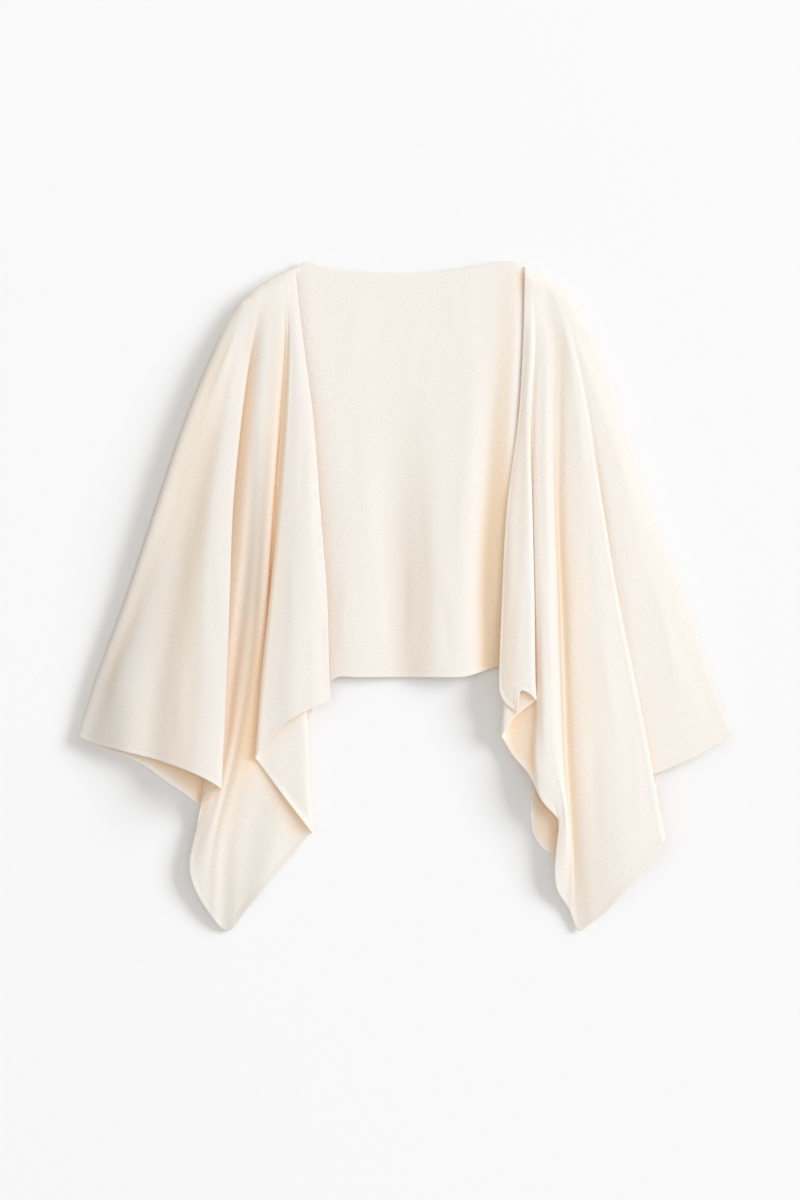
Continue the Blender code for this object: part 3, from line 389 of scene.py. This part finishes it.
def smooth(points, steps):
    """A smooth curve through points along the first axis, its knots spaced by the root of each distance."""
    ends = (2 * points[0] - points[1], 2 * points[-1] - points[-2])
    line = np.concatenate((ends[0][None], points, ends[1][None]))
    gaps = np.maximum(np.linalg.norm(np.diff(line, axis=0), axis=-1, keepdims=True), 1e-6) ** 0.5
    out = []
    for i in range(len(points) - 1):
        p0, p1, p2, p3 = line[i : i + 4]
        t1 = gaps[i]
        t2 = t1 + gaps[i + 1]
        t3 = t2 + gaps[i + 2]
        for k in range(steps):
            t = t1 + (t2 - t1) * k / steps
            a1 = (t1 - t) / t1 * p0 + t / t1 * p1
            a2 = (t2 - t) / (t2 - t1) * p1 + (t - t1) / (t2 - t1) * p2
            a3 = (t3 - t) / (t3 - t2) * p2 + (t - t2) / (t3 - t2) * p3
            b1 = (t2 - t) / t2 * a1 + t / t2 * a2
            b2 = (t3 - t) / (t3 - t1) * a2 + (t - t1) / (t3 - t1) * a3
            out.append((t2 - t) / (t2 - t1) * b1 + (t - t1) / (t2 - t1) * b2)
    out.append(points[-1])
    return np.array(out)


def distance_to(path, points, axes):
    """Distance from each point to a path, in plan for two axes and in space for three."""
    a = path[:-1, :axes]
    ab = path[1:, :axes] - a
    flat = points.reshape(-1, 3)[:, :axes]
    best = np.full(len(flat), np.inf)
    for start, step in zip(a, ab):
        share = np.clip((flat - start) @ step / max(step @ step, 1e-9), 0, 1)
        gap = np.linalg.norm(flat - start - share[:, None] * step, axis=1)
        best = np.minimum(best, gap)
    return best.reshape(points.shape[:-1])


def seam_height(y):
    """Height of the arm line, sinking from the shoulder to the wrist."""
    share = np.clip((y - WRIST_Y) / (SHOULDER_Y - WRIST_Y), 0, 1)
    return SEAM_LOW + (SEAM_HIGH - SEAM_LOW) * share


def rounding(distance, radius):
    """0 at the arm line and 1 a radius inside it, rising as a quarter circle does."""
    return np.sqrt(1 - (1 - np.clip(distance / radius, 0, 1)) ** 2)


def ease(share):
    """0 to 1 along an S curve."""
    share = np.clip(share, 0, 1)
    return share * share * (3 - 2 * share)


def creased(sheet, creases):
    """The sheet with its soft creases, each fading towards its ends and its sides."""
    flat = sheet[..., :2]
    for x1, y1, x2, y2, width, height in creases:
        start = np.array((x1, y1), dtype=float)
        step = np.array((x2, y2), dtype=float) - start
        share = (flat - start) @ step / (step @ step)
        side = ((flat[..., 0] - x1) * step[1] - (flat[..., 1] - y1) * step[0]) / np.linalg.norm(step)
        bend = width * CREASE_BEND * np.sin(np.pi * share + x1)
        fade = ease(share / CREASE_FADE) * ease((1 - share) / CREASE_FADE)
        sheet[..., 2] += height * fade * np.exp(-(((side - bend) / width) ** 2))
    return sheet


def fine_sheet(rows, levels):
    """Points of the smooth sheet: first axis down the garment, second axis across it."""
    net = fold_net(rows, levels).transpose(1, 0, 2)
    down = smooth(net, STEPS)
    return smooth(down.transpose(1, 0, 2), STEPS).transpose(1, 0, 2)


def front_sheet(rows):
    """A front's sheet: its pleats rise below the shoulder, and it rounds down to the arm line."""
    sheet = fine_sheet(rows, FRONT_LEVELS)
    grown = ease((lengths(sheet) - PLEAT_START) / PLEAT_REACH)
    sheet[..., 2] = sheet[0, :, 2] + (sheet[..., 2] - sheet[0, :, 2]) * grown
    arm_line = np.concatenate((sheet[::-1, 0], sheet[0, 1:]))
    away = distance_to(arm_line, sheet, 2)
    low = seam_height(sheet[..., 1]) + ARM_GAP / 2 + ARM_RIM
    sheet[..., 2] = low + (sheet[..., 2] - low) * rounding(away, ROLL_OVER)
    return sheet


def fine_column(rows, name):
    """The fine column on a fold line: each _fold line before it has a line more on both its sides."""
    names = [row[0] for row in rows]
    place = names.index(name)
    return (place + 2 * sum(before.endswith("_fold") for before in names[:place])) * STEPS


def back_sheet():
    """The back's sheet: flat on the surface or waved, and rounding up to both arm lines."""
    sheet = fine_sheet(BACK_FOLDS, BACK_LEVELS)
    neck_l, neck_r = [fine_column(BACK_FOLDS, name) for name in NECKLINE]
    left = np.concatenate((sheet[::-1, 0], sheet[0, 1 : neck_l + 1]))
    right = np.concatenate((sheet[0, neck_r:-1], sheet[:, -1]))
    away = np.minimum(distance_to(left, sheet, 2), distance_to(right, sheet, 2))
    high = seam_height(sheet[..., 1]) - ARM_GAP / 2 - ARM_RIM
    flat = np.maximum(sheet[..., 2], CLOTH / 2)
    sheet[..., 2] = high + (flat - high) * rounding(away, ROLL_UNDER)
    return sheet


def lengths(lines):
    """Length from the first point to each point, along the first axis."""
    steps = np.linalg.norm(np.diff(lines, axis=0), axis=-1)
    return np.concatenate((np.zeros((1, lines.shape[1])), np.cumsum(steps, axis=0)))


def at_lengths(lines, run, places):
    """Points of each line at the given lengths along it."""
    out = np.empty((len(places), lines.shape[1], 3))
    for k in range(lines.shape[1]):
        for axis in range(3):
            out[:, k, axis] = np.interp(places[:, k], run[:, k], lines[:, k, axis])
    return out


def hem_cut(sheet, run, width):
    """How far up each fine column lies a given distance from the hem, evened out over three columns."""
    hem = sheet[-1]
    count = len(hem)
    cut = np.empty(count)
    for k in range(count):
        near = hem[max(0, k - NEAR_HEM) : min(count, k + NEAR_HEM + 1)]
        away = distance_to(near, sheet[::-1, k], 3)
        cut[k] = np.interp(width, np.maximum.accumulate(away), run[-1, k] - run[::-1, k])
    return np.convolve(np.pad(cut, 1, mode="edge"), np.ones(3) / 3, mode="valid")


def even_places(sheet, spacing, both_seams):
    """Fine columns at which the piece's lines lie, close together where the cloth rounds over its edge."""
    count = (sheet.shape[1] - 1) // STEPS
    places = []
    for k in range(count):
        gap = np.linalg.norm(sheet[:, (k + 1) * STEPS] - sheet[:, k * STEPS], axis=1).max()
        parts = max(LEAST_LINES, int(np.ceil(gap / spacing)))
        more = parts + SEAM_LINES
        shares = np.arange(parts) / parts
        if k == 0:
            shares = (np.arange(more) / more) ** CLOSER
        elif both_seams and k == count - 1:
            shares = 1 - (np.arange(more, 0, -1) / more) ** CLOSER
        places += [(k + share) * STEPS for share in shares]
    places += [(count - EDGE_LINE / gap) * STEPS, count * STEPS]
    return np.array(places, dtype=float)


def down_lines(run, cut, spacing):
    """Lengths down each fine column: close together at the shoulder, then even to the cut."""
    total = run[-1] - cut
    near = [NEAR_TOP * (k / TOP_LINES) ** CLOSER for k in range(TOP_LINES)]
    count = int(np.ceil((total.max() - NEAR_TOP) / spacing))
    first = np.array(near)[:, None] * np.ones(len(total))
    shares = np.append(np.arange(count) / count, (1 - EDGE_LINE / (total.max() - NEAR_TOP), 1))[:, None]
    return np.concatenate((first, NEAR_TOP + (total - NEAR_TOP)[None] * shares))


def at_columns(rows, places):
    """Points of each row at fine columns."""
    out = np.empty((len(rows), len(places), rows.shape[2]))
    index = np.arange(rows.shape[1])
    for k in range(len(rows)):
        for axis in range(rows.shape[2]):
            out[k, :, axis] = np.interp(places, index, rows[k, :, axis])
    return out


def without_edge(grid, width):
    """The grid with its last lines closed up, so that it ends a width before the front edge."""
    lines = grid.transpose(1, 0, 2)
    run = lengths(lines)
    begin = run[-1] - TRIM_ZONE
    inside = begin + (run - begin) * (TRIM_ZONE - width) / TRIM_ZONE
    return at_lengths(lines, run, np.where(run > begin, inside, run)).transpose(1, 0, 2)


def edge_strip(grid):
    """The band along the front edge: lines at the band's shares in from the edge."""
    lines = grid.transpose(1, 0, 2)
    run = lengths(lines)
    shares = np.array(BAND_LINES)[:, None]
    return at_lengths(lines, run, run[-1][None] - BAND_WIDTH * shares).transpose(1, 0, 2)


def curled(strip, across):
    """The strip with its free edge curled up, more in some places than in others."""
    share = 1 - np.array(BAND_LINES)
    place = lengths(strip if across else strip.transpose(1, 0, 2))[:, 0]
    wave = CURL_BASE
    for part, length, start in CURL_WAVES:
        wave = wave + part * np.sin(place / length + start)
    wave = HEM_CURL * wave
    edge = strip[:, -1, :2] if across else strip[-1, :, :2]
    for x, y, reach, more in CURLS:
        wave = wave + more * np.exp(-(((edge - (x, y)) / reach) ** 2).sum(axis=1))
    rise = share**2 * wave[:, None] if across else (share**2)[:, None] * wave[None]
    out = strip.copy()
    out[..., 2] += rise
    return out


def painted_fold_shading(grid, places, folds, painted_shading_rows):
    """Painted shading at each point of a grid from the listed fold lines: shade tint and darkening, or light
    below nothing.
    """
    across = lengths(grid.transpose(1, 0, 2))
    down = np.arange(len(grid)) / (len(grid) - 1)
    out = np.zeros((2, *grid.shape[:2]))
    for name, width, tint_amount, shade_amount in painted_shading_rows:
        column = fine_column(folds, name)
        middle = np.array([np.interp(column, places, across[:, k]) for k in range(len(grid))])
        near = np.exp(-(((across.T - middle[:, None]) / width) ** 2)) * ease(down / SHADING_START)[:, None]
        for k, amounts in enumerate((tint_amount, shade_amount)):
            out[k] += np.interp(down, QUARTERS, amounts)[:, None] * near
    return out


def placed(name, data):
    """A new object of the scene with the given data."""
    thing = bpy.data.objects.new(name, data)
    bpy.context.scene.collection.objects.link(thing)
    return thing


def cloth(name, grid, thickness, taper, rims, slot, stands_for, painted_shading):
    """A fine sheet through a grid of points, thickened to both sides and riding on the frame.
    The taper is the share of the thickness at each point. Each rim is a path along the grid's edge and the
    height of the upright rim there. The painted shading is the shade tint and the darkening, or lightening,
    painted into the knit's colour at each point."""
    rows, columns = grid.shape[:2]
    points = grid.reshape(-1, 3).copy()
    points[:, 2] = np.maximum(points[:, 2], thickness / 2 + FLOOR_CLEAR)
    taper = np.broadcast_to(taper, (rows, columns)).reshape(-1)
    painted_shading = painted_shading.reshape(2, -1)
    across = lengths(grid.transpose(1, 0, 2)).T
    down = lengths(grid)
    flat = np.stack((across.reshape(-1), down.reshape(-1)), axis=1)
    a = (np.arange(rows - 1)[:, None] * columns + np.arange(columns - 1)[None]).reshape(-1)
    faces = np.stack((a, a + columns, a + columns + 1, a + 1), axis=1).tolist()
    for path, height in rims:
        along = [i * columns + j for i, j in path]
        start = len(points)
        points = np.concatenate((points, points[along] + (0.0, 0.0, height)))
        flat = np.concatenate((flat, flat[along]))
        taper = np.concatenate((taper, np.ones(len(along))))
        painted_shading = np.concatenate((painted_shading, painted_shading[:, along]), axis=1)
        for k in range(len(along) - 1):
            faces.append((along[k], along[k + 1], start + k + 1, start + k))
    mesh = bpy.data.meshes.new(name)
    mesh.from_pydata(((points - (CENTRE_X, CENTRE_Y, 0.0)) * MM).tolist(), [], faces)
    mesh.update()
    layer = mesh.uv_layers.new(name="cloth")
    corners = np.empty(len(mesh.loops), dtype=np.int32)
    mesh.loops.foreach_get("vertex_index", corners)
    layer.data.foreach_set("uv", (flat[corners] * MM).reshape(-1))
    mesh.shade_smooth()
    piece = placed(name, mesh)
    group = piece.vertex_groups.new(name="thickness")
    for share in np.unique(taper):
        group.add(np.flatnonzero(taper == share).tolist(), float(share), "REPLACE")
    wall = piece.modifiers.new("cloth", "SOLIDIFY")
    wall.thickness = thickness * MM
    wall.offset = 0.0
    wall.vertex_group = group.name
    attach(piece, "root")
    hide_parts(stands_for)
    MADE.append((piece, slot, grid, points, painted_shading))
    return piece


def up_and_over(rows, columns):
    """The places along a grid's first column, from its foot up, and on along its first row."""
    return [(i, 0) for i in range(rows - 1, 0, -1)] + [(0, j) for j in range(columns)]


def over_and_down(rows, columns, first):
    """The places along a grid's first row, from the given column on, and down its last column."""
    return [(0, j) for j in range(first, columns)] + [(i, columns - 1) for i in range(1, rows)]


def hem_strip(sheet, run):
    """The band along the hem: lines at the band's shares up from the hem."""
    cuts = [hem_cut(sheet, run, BAND_WIDTH * share) for share in BAND_LINES[:-1]]
    return at_lengths(sheet, run, np.array([run[-1] - cut for cut in cuts] + [run[-1]]))


def make_front(side, folds, creases, painted_shading_rows):
    """One front: its panel, its hem band and its edge band."""
    sheet = creased(front_sheet(folds), creases)
    run = lengths(sheet)
    places = even_places(sheet, SPACING, False)
    cut = hem_cut(sheet, run, BAND_WIDTH - JOIN_LAP)
    rows = at_lengths(sheet, run, down_lines(run, cut, SPACING_DOWN))
    grid = at_columns(rows, places)
    panel = without_edge(grid, BAND_WIDTH - JOIN_LAP)
    thin = np.ones(panel.shape[:2])
    thin[-1] = EDGE_THIN
    thin[:, -1] = EDGE_THIN
    painted_shading = painted_fold_shading(grid, places, folds, painted_shading_rows)
    rims = [(up_and_over(*panel.shape[:2]), -ARM_RIM)]
    front = cloth(side + "_front_cloth", panel, CLOTH, thin, rims, "knit", side + "_front", painted_shading)
    taper = np.array(BAND_ROUND)
    strip = curled(at_columns(hem_strip(sheet, run), places), False)
    rims = [(up_and_over(len(strip), 1), -ARM_RIM)]
    hem = cloth(side + "_hem_cloth", strip, BAND_CLOTH, taper[:, None], rims, "band", side + "_hem_band",
                np.repeat(painted_shading[:, -1:], len(strip), axis=1))
    strip = curled(edge_strip(grid), True)
    rims = [(over_and_down(1, len(BAND_LINES), 0), -ARM_RIM)]
    edge = cloth(side + "_edge_cloth", strip, BAND_CLOTH, taper[None], rims, "band", side + "_edge_band",
                 np.repeat(painted_shading[:, :, -1:], len(BAND_LINES), axis=2))


def make_back():
    """The back: its panel, with a thin open neckline, and the bands along its lower edge."""
    sheet = creased(back_sheet(), BACK_CREASES)
    neck_l, neck_r = [fine_column(BACK_FOLDS, name) for name in NECKLINE]
    spans = [(node, fine_column(BACK_FOLDS, first), fine_column(BACK_FOLDS, last))
             for node, first, last in BACK_BANDS]
    run = lengths(sheet)
    places = even_places(sheet, BACK_SPACING, True)
    cut = np.zeros(sheet.shape[1])
    panel_cut = hem_cut(sheet, run, BAND_WIDTH - JOIN_LAP)
    for _node, first, last in spans:
        cut[first : last + 1] = panel_cut[first : last + 1]
    panel = at_columns(at_lengths(sheet, run, down_lines(run, cut, BACK_SPACING)), places)
    taper = np.ones(panel.shape[:2])
    neckline = (places > neck_l) & (places < neck_r)
    for line, share in enumerate(NECK_THIN):
        taper[line, neckline] = share
    taper[-1, cut[np.round(places).astype(int)] > 0] = EDGE_THIN
    painted_shading = painted_fold_shading(panel, places, BACK_FOLDS, BACK_PAINTED_SHADING)
    left = up_and_over(len(panel), int(np.searchsorted(places, neck_l)) + 1)
    right = over_and_down(*panel.shape[:2], int(np.searchsorted(places, neck_r)))
    rims = [(left, ARM_RIM), (right, ARM_RIM)]
    back = cloth("back_cloth", panel, CLOTH, taper, rims, "knit", "back_panel", painted_shading)
    strip = hem_strip(sheet, run)
    taper = np.array(BAND_ROUND)[:, None]
    for node, first, last in spans:
        inside = (places >= first) & (places <= last)
        band = curled(at_columns(strip, places[inside]), False)
        band_painted_shading = np.repeat(painted_shading[:, -1:, inside], len(band), axis=1)
        rims = []
        if first == 0:
            rims.append((up_and_over(len(band), 1), ARM_RIM))
        if last == sheet.shape[1] - 1:
            rims.append((over_and_down(*band.shape[:2], band.shape[1] - 1), ARM_RIM))
        name = node.replace("_band", "_cloth")
        cloth(name, band, BAND_CLOTH, taper, rims, "band", node, band_painted_shading)


def filled_in(grid):
    """The grid with a point more between each two."""
    for _turn in range(2):
        middle = (grid[1:] + grid[:-1]) / 2
        both = np.empty((2 * len(grid) - 1, *grid.shape[1:]))
        both[::2] = grid
        both[1::2] = middle
        grid = both.transpose(1, 0, 2)
    return grid


def top_of_all():
    """Height of the topmost cloth in each cell, and the corner that the cells are counted from."""
    points = np.concatenate([filled_in(grid).reshape(-1, 3) for _piece, _slot, grid, _points, _deep in MADE])
    corner = points[:, :2].min(axis=0) - LOOK[-1] - CELL
    cells = np.floor((points[:, :2] - corner) / CELL).astype(int)
    top = np.zeros(np.ceil((points[:, :2].max(axis=0) + LOOK[-1] + CELL - corner) / CELL).astype(int) + 1)
    np.maximum.at(top, (cells[:, 0], cells[:, 1]), points[:, 2])
    return top, corner


def painted_shade_tint(points, top, corner):
    """Painted shade tint at each point, from 0 to 1: how far down it lies between folds, from what hides the
    sky on each side of it.
    """
    hidden = np.zeros(len(points))
    open_sides = np.zeros(len(points))
    for angle, weight, spared in SIDES:
        way = np.array((np.cos(np.radians(angle)), np.sin(np.radians(angle))))
        steep = np.zeros(len(points))
        for reach in LOOK:
            cells = np.floor((points[:, :2] + way * reach - corner) / CELL).astype(int)
            rise = top[cells[:, 0], cells[:, 1]] - points[:, 2] - spared
            steep = np.maximum(steep, rise / reach)
        hidden += weight * steep / (1 + steep)
        cells = np.floor((points[:, :2] + way * OPEN_REACH - corner) / CELL).astype(int)
        open_sides += (top[cells[:, 0], cells[:, 1]] == 0) / len(SIDES)
    cells = np.floor((points[:, :2] - corner) / CELL).astype(int)
    around = [top[cells[:, 0] + i, cells[:, 1] + j] for i, j in AROUND]
    covered = np.min(around, axis=0) > points[:, 2] + COVERED
    hidden *= np.where(covered, 1, 1 - OPEN_GAIN * np.clip(OPEN_RISE * open_sides, 0, 1))
    hidden += COVERED_DEEP * covered
    return np.clip((hidden - SHADE_TINT_FROM) / (SHADE_TINT_TO - SHADE_TINT_FROM), 0, 1)


def knit_material(name, grain):
    """A brushed cream knit, a fine pebble in colour and bump, with painted shade: tinted and darker, or
    lighter, where the cloth's attributes say so.
    """
    material = bpy.data.materials.new(name)
    material.use_nodes = True
    nodes = material.node_tree.nodes
    links = material.node_tree.links
    shader = nodes["Principled BSDF"]
    shader.inputs["Roughness"].default_value = 0.95
    shader.inputs["Specular IOR Level"].default_value = 0.15
    shader.inputs["Sheen Weight"].default_value = 0.05
    shader.inputs["Sheen Roughness"].default_value = 0.6
    shader.inputs["Sheen Tint"].default_value = (1.0, 0.96, 0.9, 1.0)
    place = nodes.new("ShaderNodeTexCoord")
    pebble = nodes.new("ShaderNodeTexNoise")
    pebble.inputs["Scale"].default_value = 430.0
    pebble.inputs["Detail"].default_value = 2.0
    pebble.inputs["Roughness"].default_value = 0.6
    links.new(place.outputs["Object"], pebble.inputs["Vector"])
    tone = nodes.new("ShaderNodeMapRange")
    tone.inputs["From Min"].default_value = 0.3
    tone.inputs["From Max"].default_value = 0.7
    tone.inputs["To Min"].default_value = 0.955
    tone.inputs["To Max"].default_value = 1.0
    links.new(pebble.outputs["Fac"], tone.inputs["Value"])
    # painted shade: the tint attribute mixes the cream towards the orange-cream of shade
    painted_shading = nodes.new("ShaderNodeAttribute")
    painted_shading.attribute_name = "painted_shade_tint"
    shaded_hue = nodes.new("ShaderNodeMix")
    shaded_hue.data_type = "RGBA"
    shaded_hue.inputs["A"].default_value = (*CREAM, 1.0)
    shaded_hue.inputs["B"].default_value = (*PAINTED_SHADE_CREAM, 1.0)
    links.new(painted_shading.outputs["Fac"], shaded_hue.inputs["Factor"])
    # painted shade and light: the shade attribute darkens the colour, or lightens it below nothing
    shade = nodes.new("ShaderNodeAttribute")
    shade.attribute_name = "shade"
    darker = nodes.new("ShaderNodeMapRange")
    darker.inputs["From Min"].default_value = -LIFT
    darker.inputs["To Min"].default_value = 1.0 + SHADE * LIFT
    darker.inputs["To Max"].default_value = 1.0 - SHADE
    links.new(shade.outputs["Fac"], darker.inputs["Value"])
    both = nodes.new("ShaderNodeMath")
    both.operation = "MULTIPLY"
    links.new(tone.outputs["Result"], both.inputs[0])
    links.new(darker.outputs["Result"], both.inputs[1])
    mix = nodes.new("ShaderNodeMix")
    mix.data_type = "RGBA"
    mix.blend_type = "MULTIPLY"
    mix.inputs["Factor"].default_value = 1.0
    links.new(shaded_hue.outputs["Result"], mix.inputs["A"])
    links.new(both.outputs["Value"], mix.inputs["B"])
    links.new(mix.outputs["Result"], shader.inputs["Base Color"])
    bump = nodes.new("ShaderNodeBump")
    bump.inputs["Strength"].default_value = grain
    bump.inputs["Distance"].default_value = 0.0007
    links.new(pebble.outputs["Fac"], bump.inputs["Height"])
    links.new(bump.outputs["Normal"], shader.inputs["Normal"])
    return material


MADE = []  # each piece of cloth: its object, slot, grid, points, and the painted shade tint and painted shade or light at each point
make_back()
make_front("left", LEFT_FRONT_FOLDS, LEFT_CREASES, LEFT_PAINTED_SHADING)
make_front("right", RIGHT_FRONT_FOLDS, RIGHT_CREASES, RIGHT_PAINTED_SHADING)
MATERIALS = {"knit": knit_material("knit_cream", grain=0.7), "band": knit_material("band_cream", grain=0.5)}
TOP, CORNER = top_of_all()
for piece, slot, _grid, points, painted_shading in MADE:
    piece.data.materials.append(MATERIALS[slot])
    # painted shade: tint from the folds around each point and the tables, darkening or lightening from the
    # tables
    tint_amount = np.clip(painted_shade_tint(points, TOP, CORNER) + painted_shading[0], 0, 1)
    for name, values in (("painted_shade_tint", tint_amount), ("shade", np.clip(painted_shading[1], -LIFT, 1))):
        layer = piece.data.attributes.new(name, "FLOAT", "POINT")
        layer.data.foreach_set("value", values.astype(np.float32))

# Floor, light and camera, in metres
FRAME_X = -0.006  # middle of the picture
FRAME_Y = -0.005
FRAME_HEIGHT = 1.5  # the picture is this high on the floor
LENS = 150.0  # focal length and width of the sensor, in millimetres
SENSOR = 36.0
FLOOR_SIZE = 14.0
FLOOR_TOP = -0.0005  # height of the floor, just under the cape

floor_mesh = bpy.data.meshes.new("floor")
half = FLOOR_SIZE / 2
floor_corners = [(x, y, FLOOR_TOP) for x, y in ((-half, -half), (half, -half), (half, half), (-half, half))]
floor_mesh.from_pydata(floor_corners, [], [(0, 1, 2, 3)])
floor = placed("floor", floor_mesh)
paper = bpy.data.materials.new("floor_white")
paper.use_nodes = True
white = paper.node_tree.nodes["Principled BSDF"]
white.inputs["Base Color"].default_value = (0.93, 0.93, 0.93, 1.0)
white.inputs["Roughness"].default_value = 1.0
white.inputs["Specular IOR Level"].default_value = 0.0
floor_mesh.materials.append(paper)


def soft_light(name, shape, lit):
    """A large rectangular lamp aimed at the cape that lights the given objects."""
    x, y, z, width, height, watts = shape
    lamp = bpy.data.lights.new(name, "AREA")
    lamp.shape = "RECTANGLE"
    lamp.size = width
    lamp.size_y = height
    lamp.energy = watts
    lamp.color = LAMP_TINT
    light = placed(name, lamp)
    light.location = (x, y, z)
    light.rotation_euler = Vector((-x, -y, -z)).to_track_quat("-Z", "Y").to_euler()
    group = bpy.data.collections.new(name + "_lit")
    for thing in lit:
        group.objects.link(thing)
    light.light_linking.receiver_collection = group


cape = [made[0] for made in MADE]
soft_light("floor_light", FLOOR_LIGHT, [floor])
soft_light("floor_fill", FLOOR_FILL, [floor])
soft_light("cloth_light", CLOTH_LIGHT, cape)
soft_light("cloth_top_light", CLOTH_TOP_LIGHT, cape)

world = bpy.data.worlds.new("studio")
bpy.context.scene.world = world
world.use_nodes = True
sky = world.node_tree.nodes["Background"]
sky.inputs["Color"].default_value = (*SKY_TINT, 1.0)
sky.inputs["Strength"].default_value = SKY

lens = bpy.data.cameras.new("camera")
lens.lens = LENS
lens.sensor_width = SENSOR
camera = placed("camera", lens)
camera.location = (FRAME_X, FRAME_Y, FRAME_HEIGHT * LENS / SENSOR)
bpy.context.scene.camera = camera
bpy.context.scene.view_settings.view_transform = "Standard"
bpy.context.scene.cycles.max_bounces = 32
bpy.context.scene.cycles.diffuse_bounces = 24
bpy.context.scene.cycles.transmission_bounces = 16
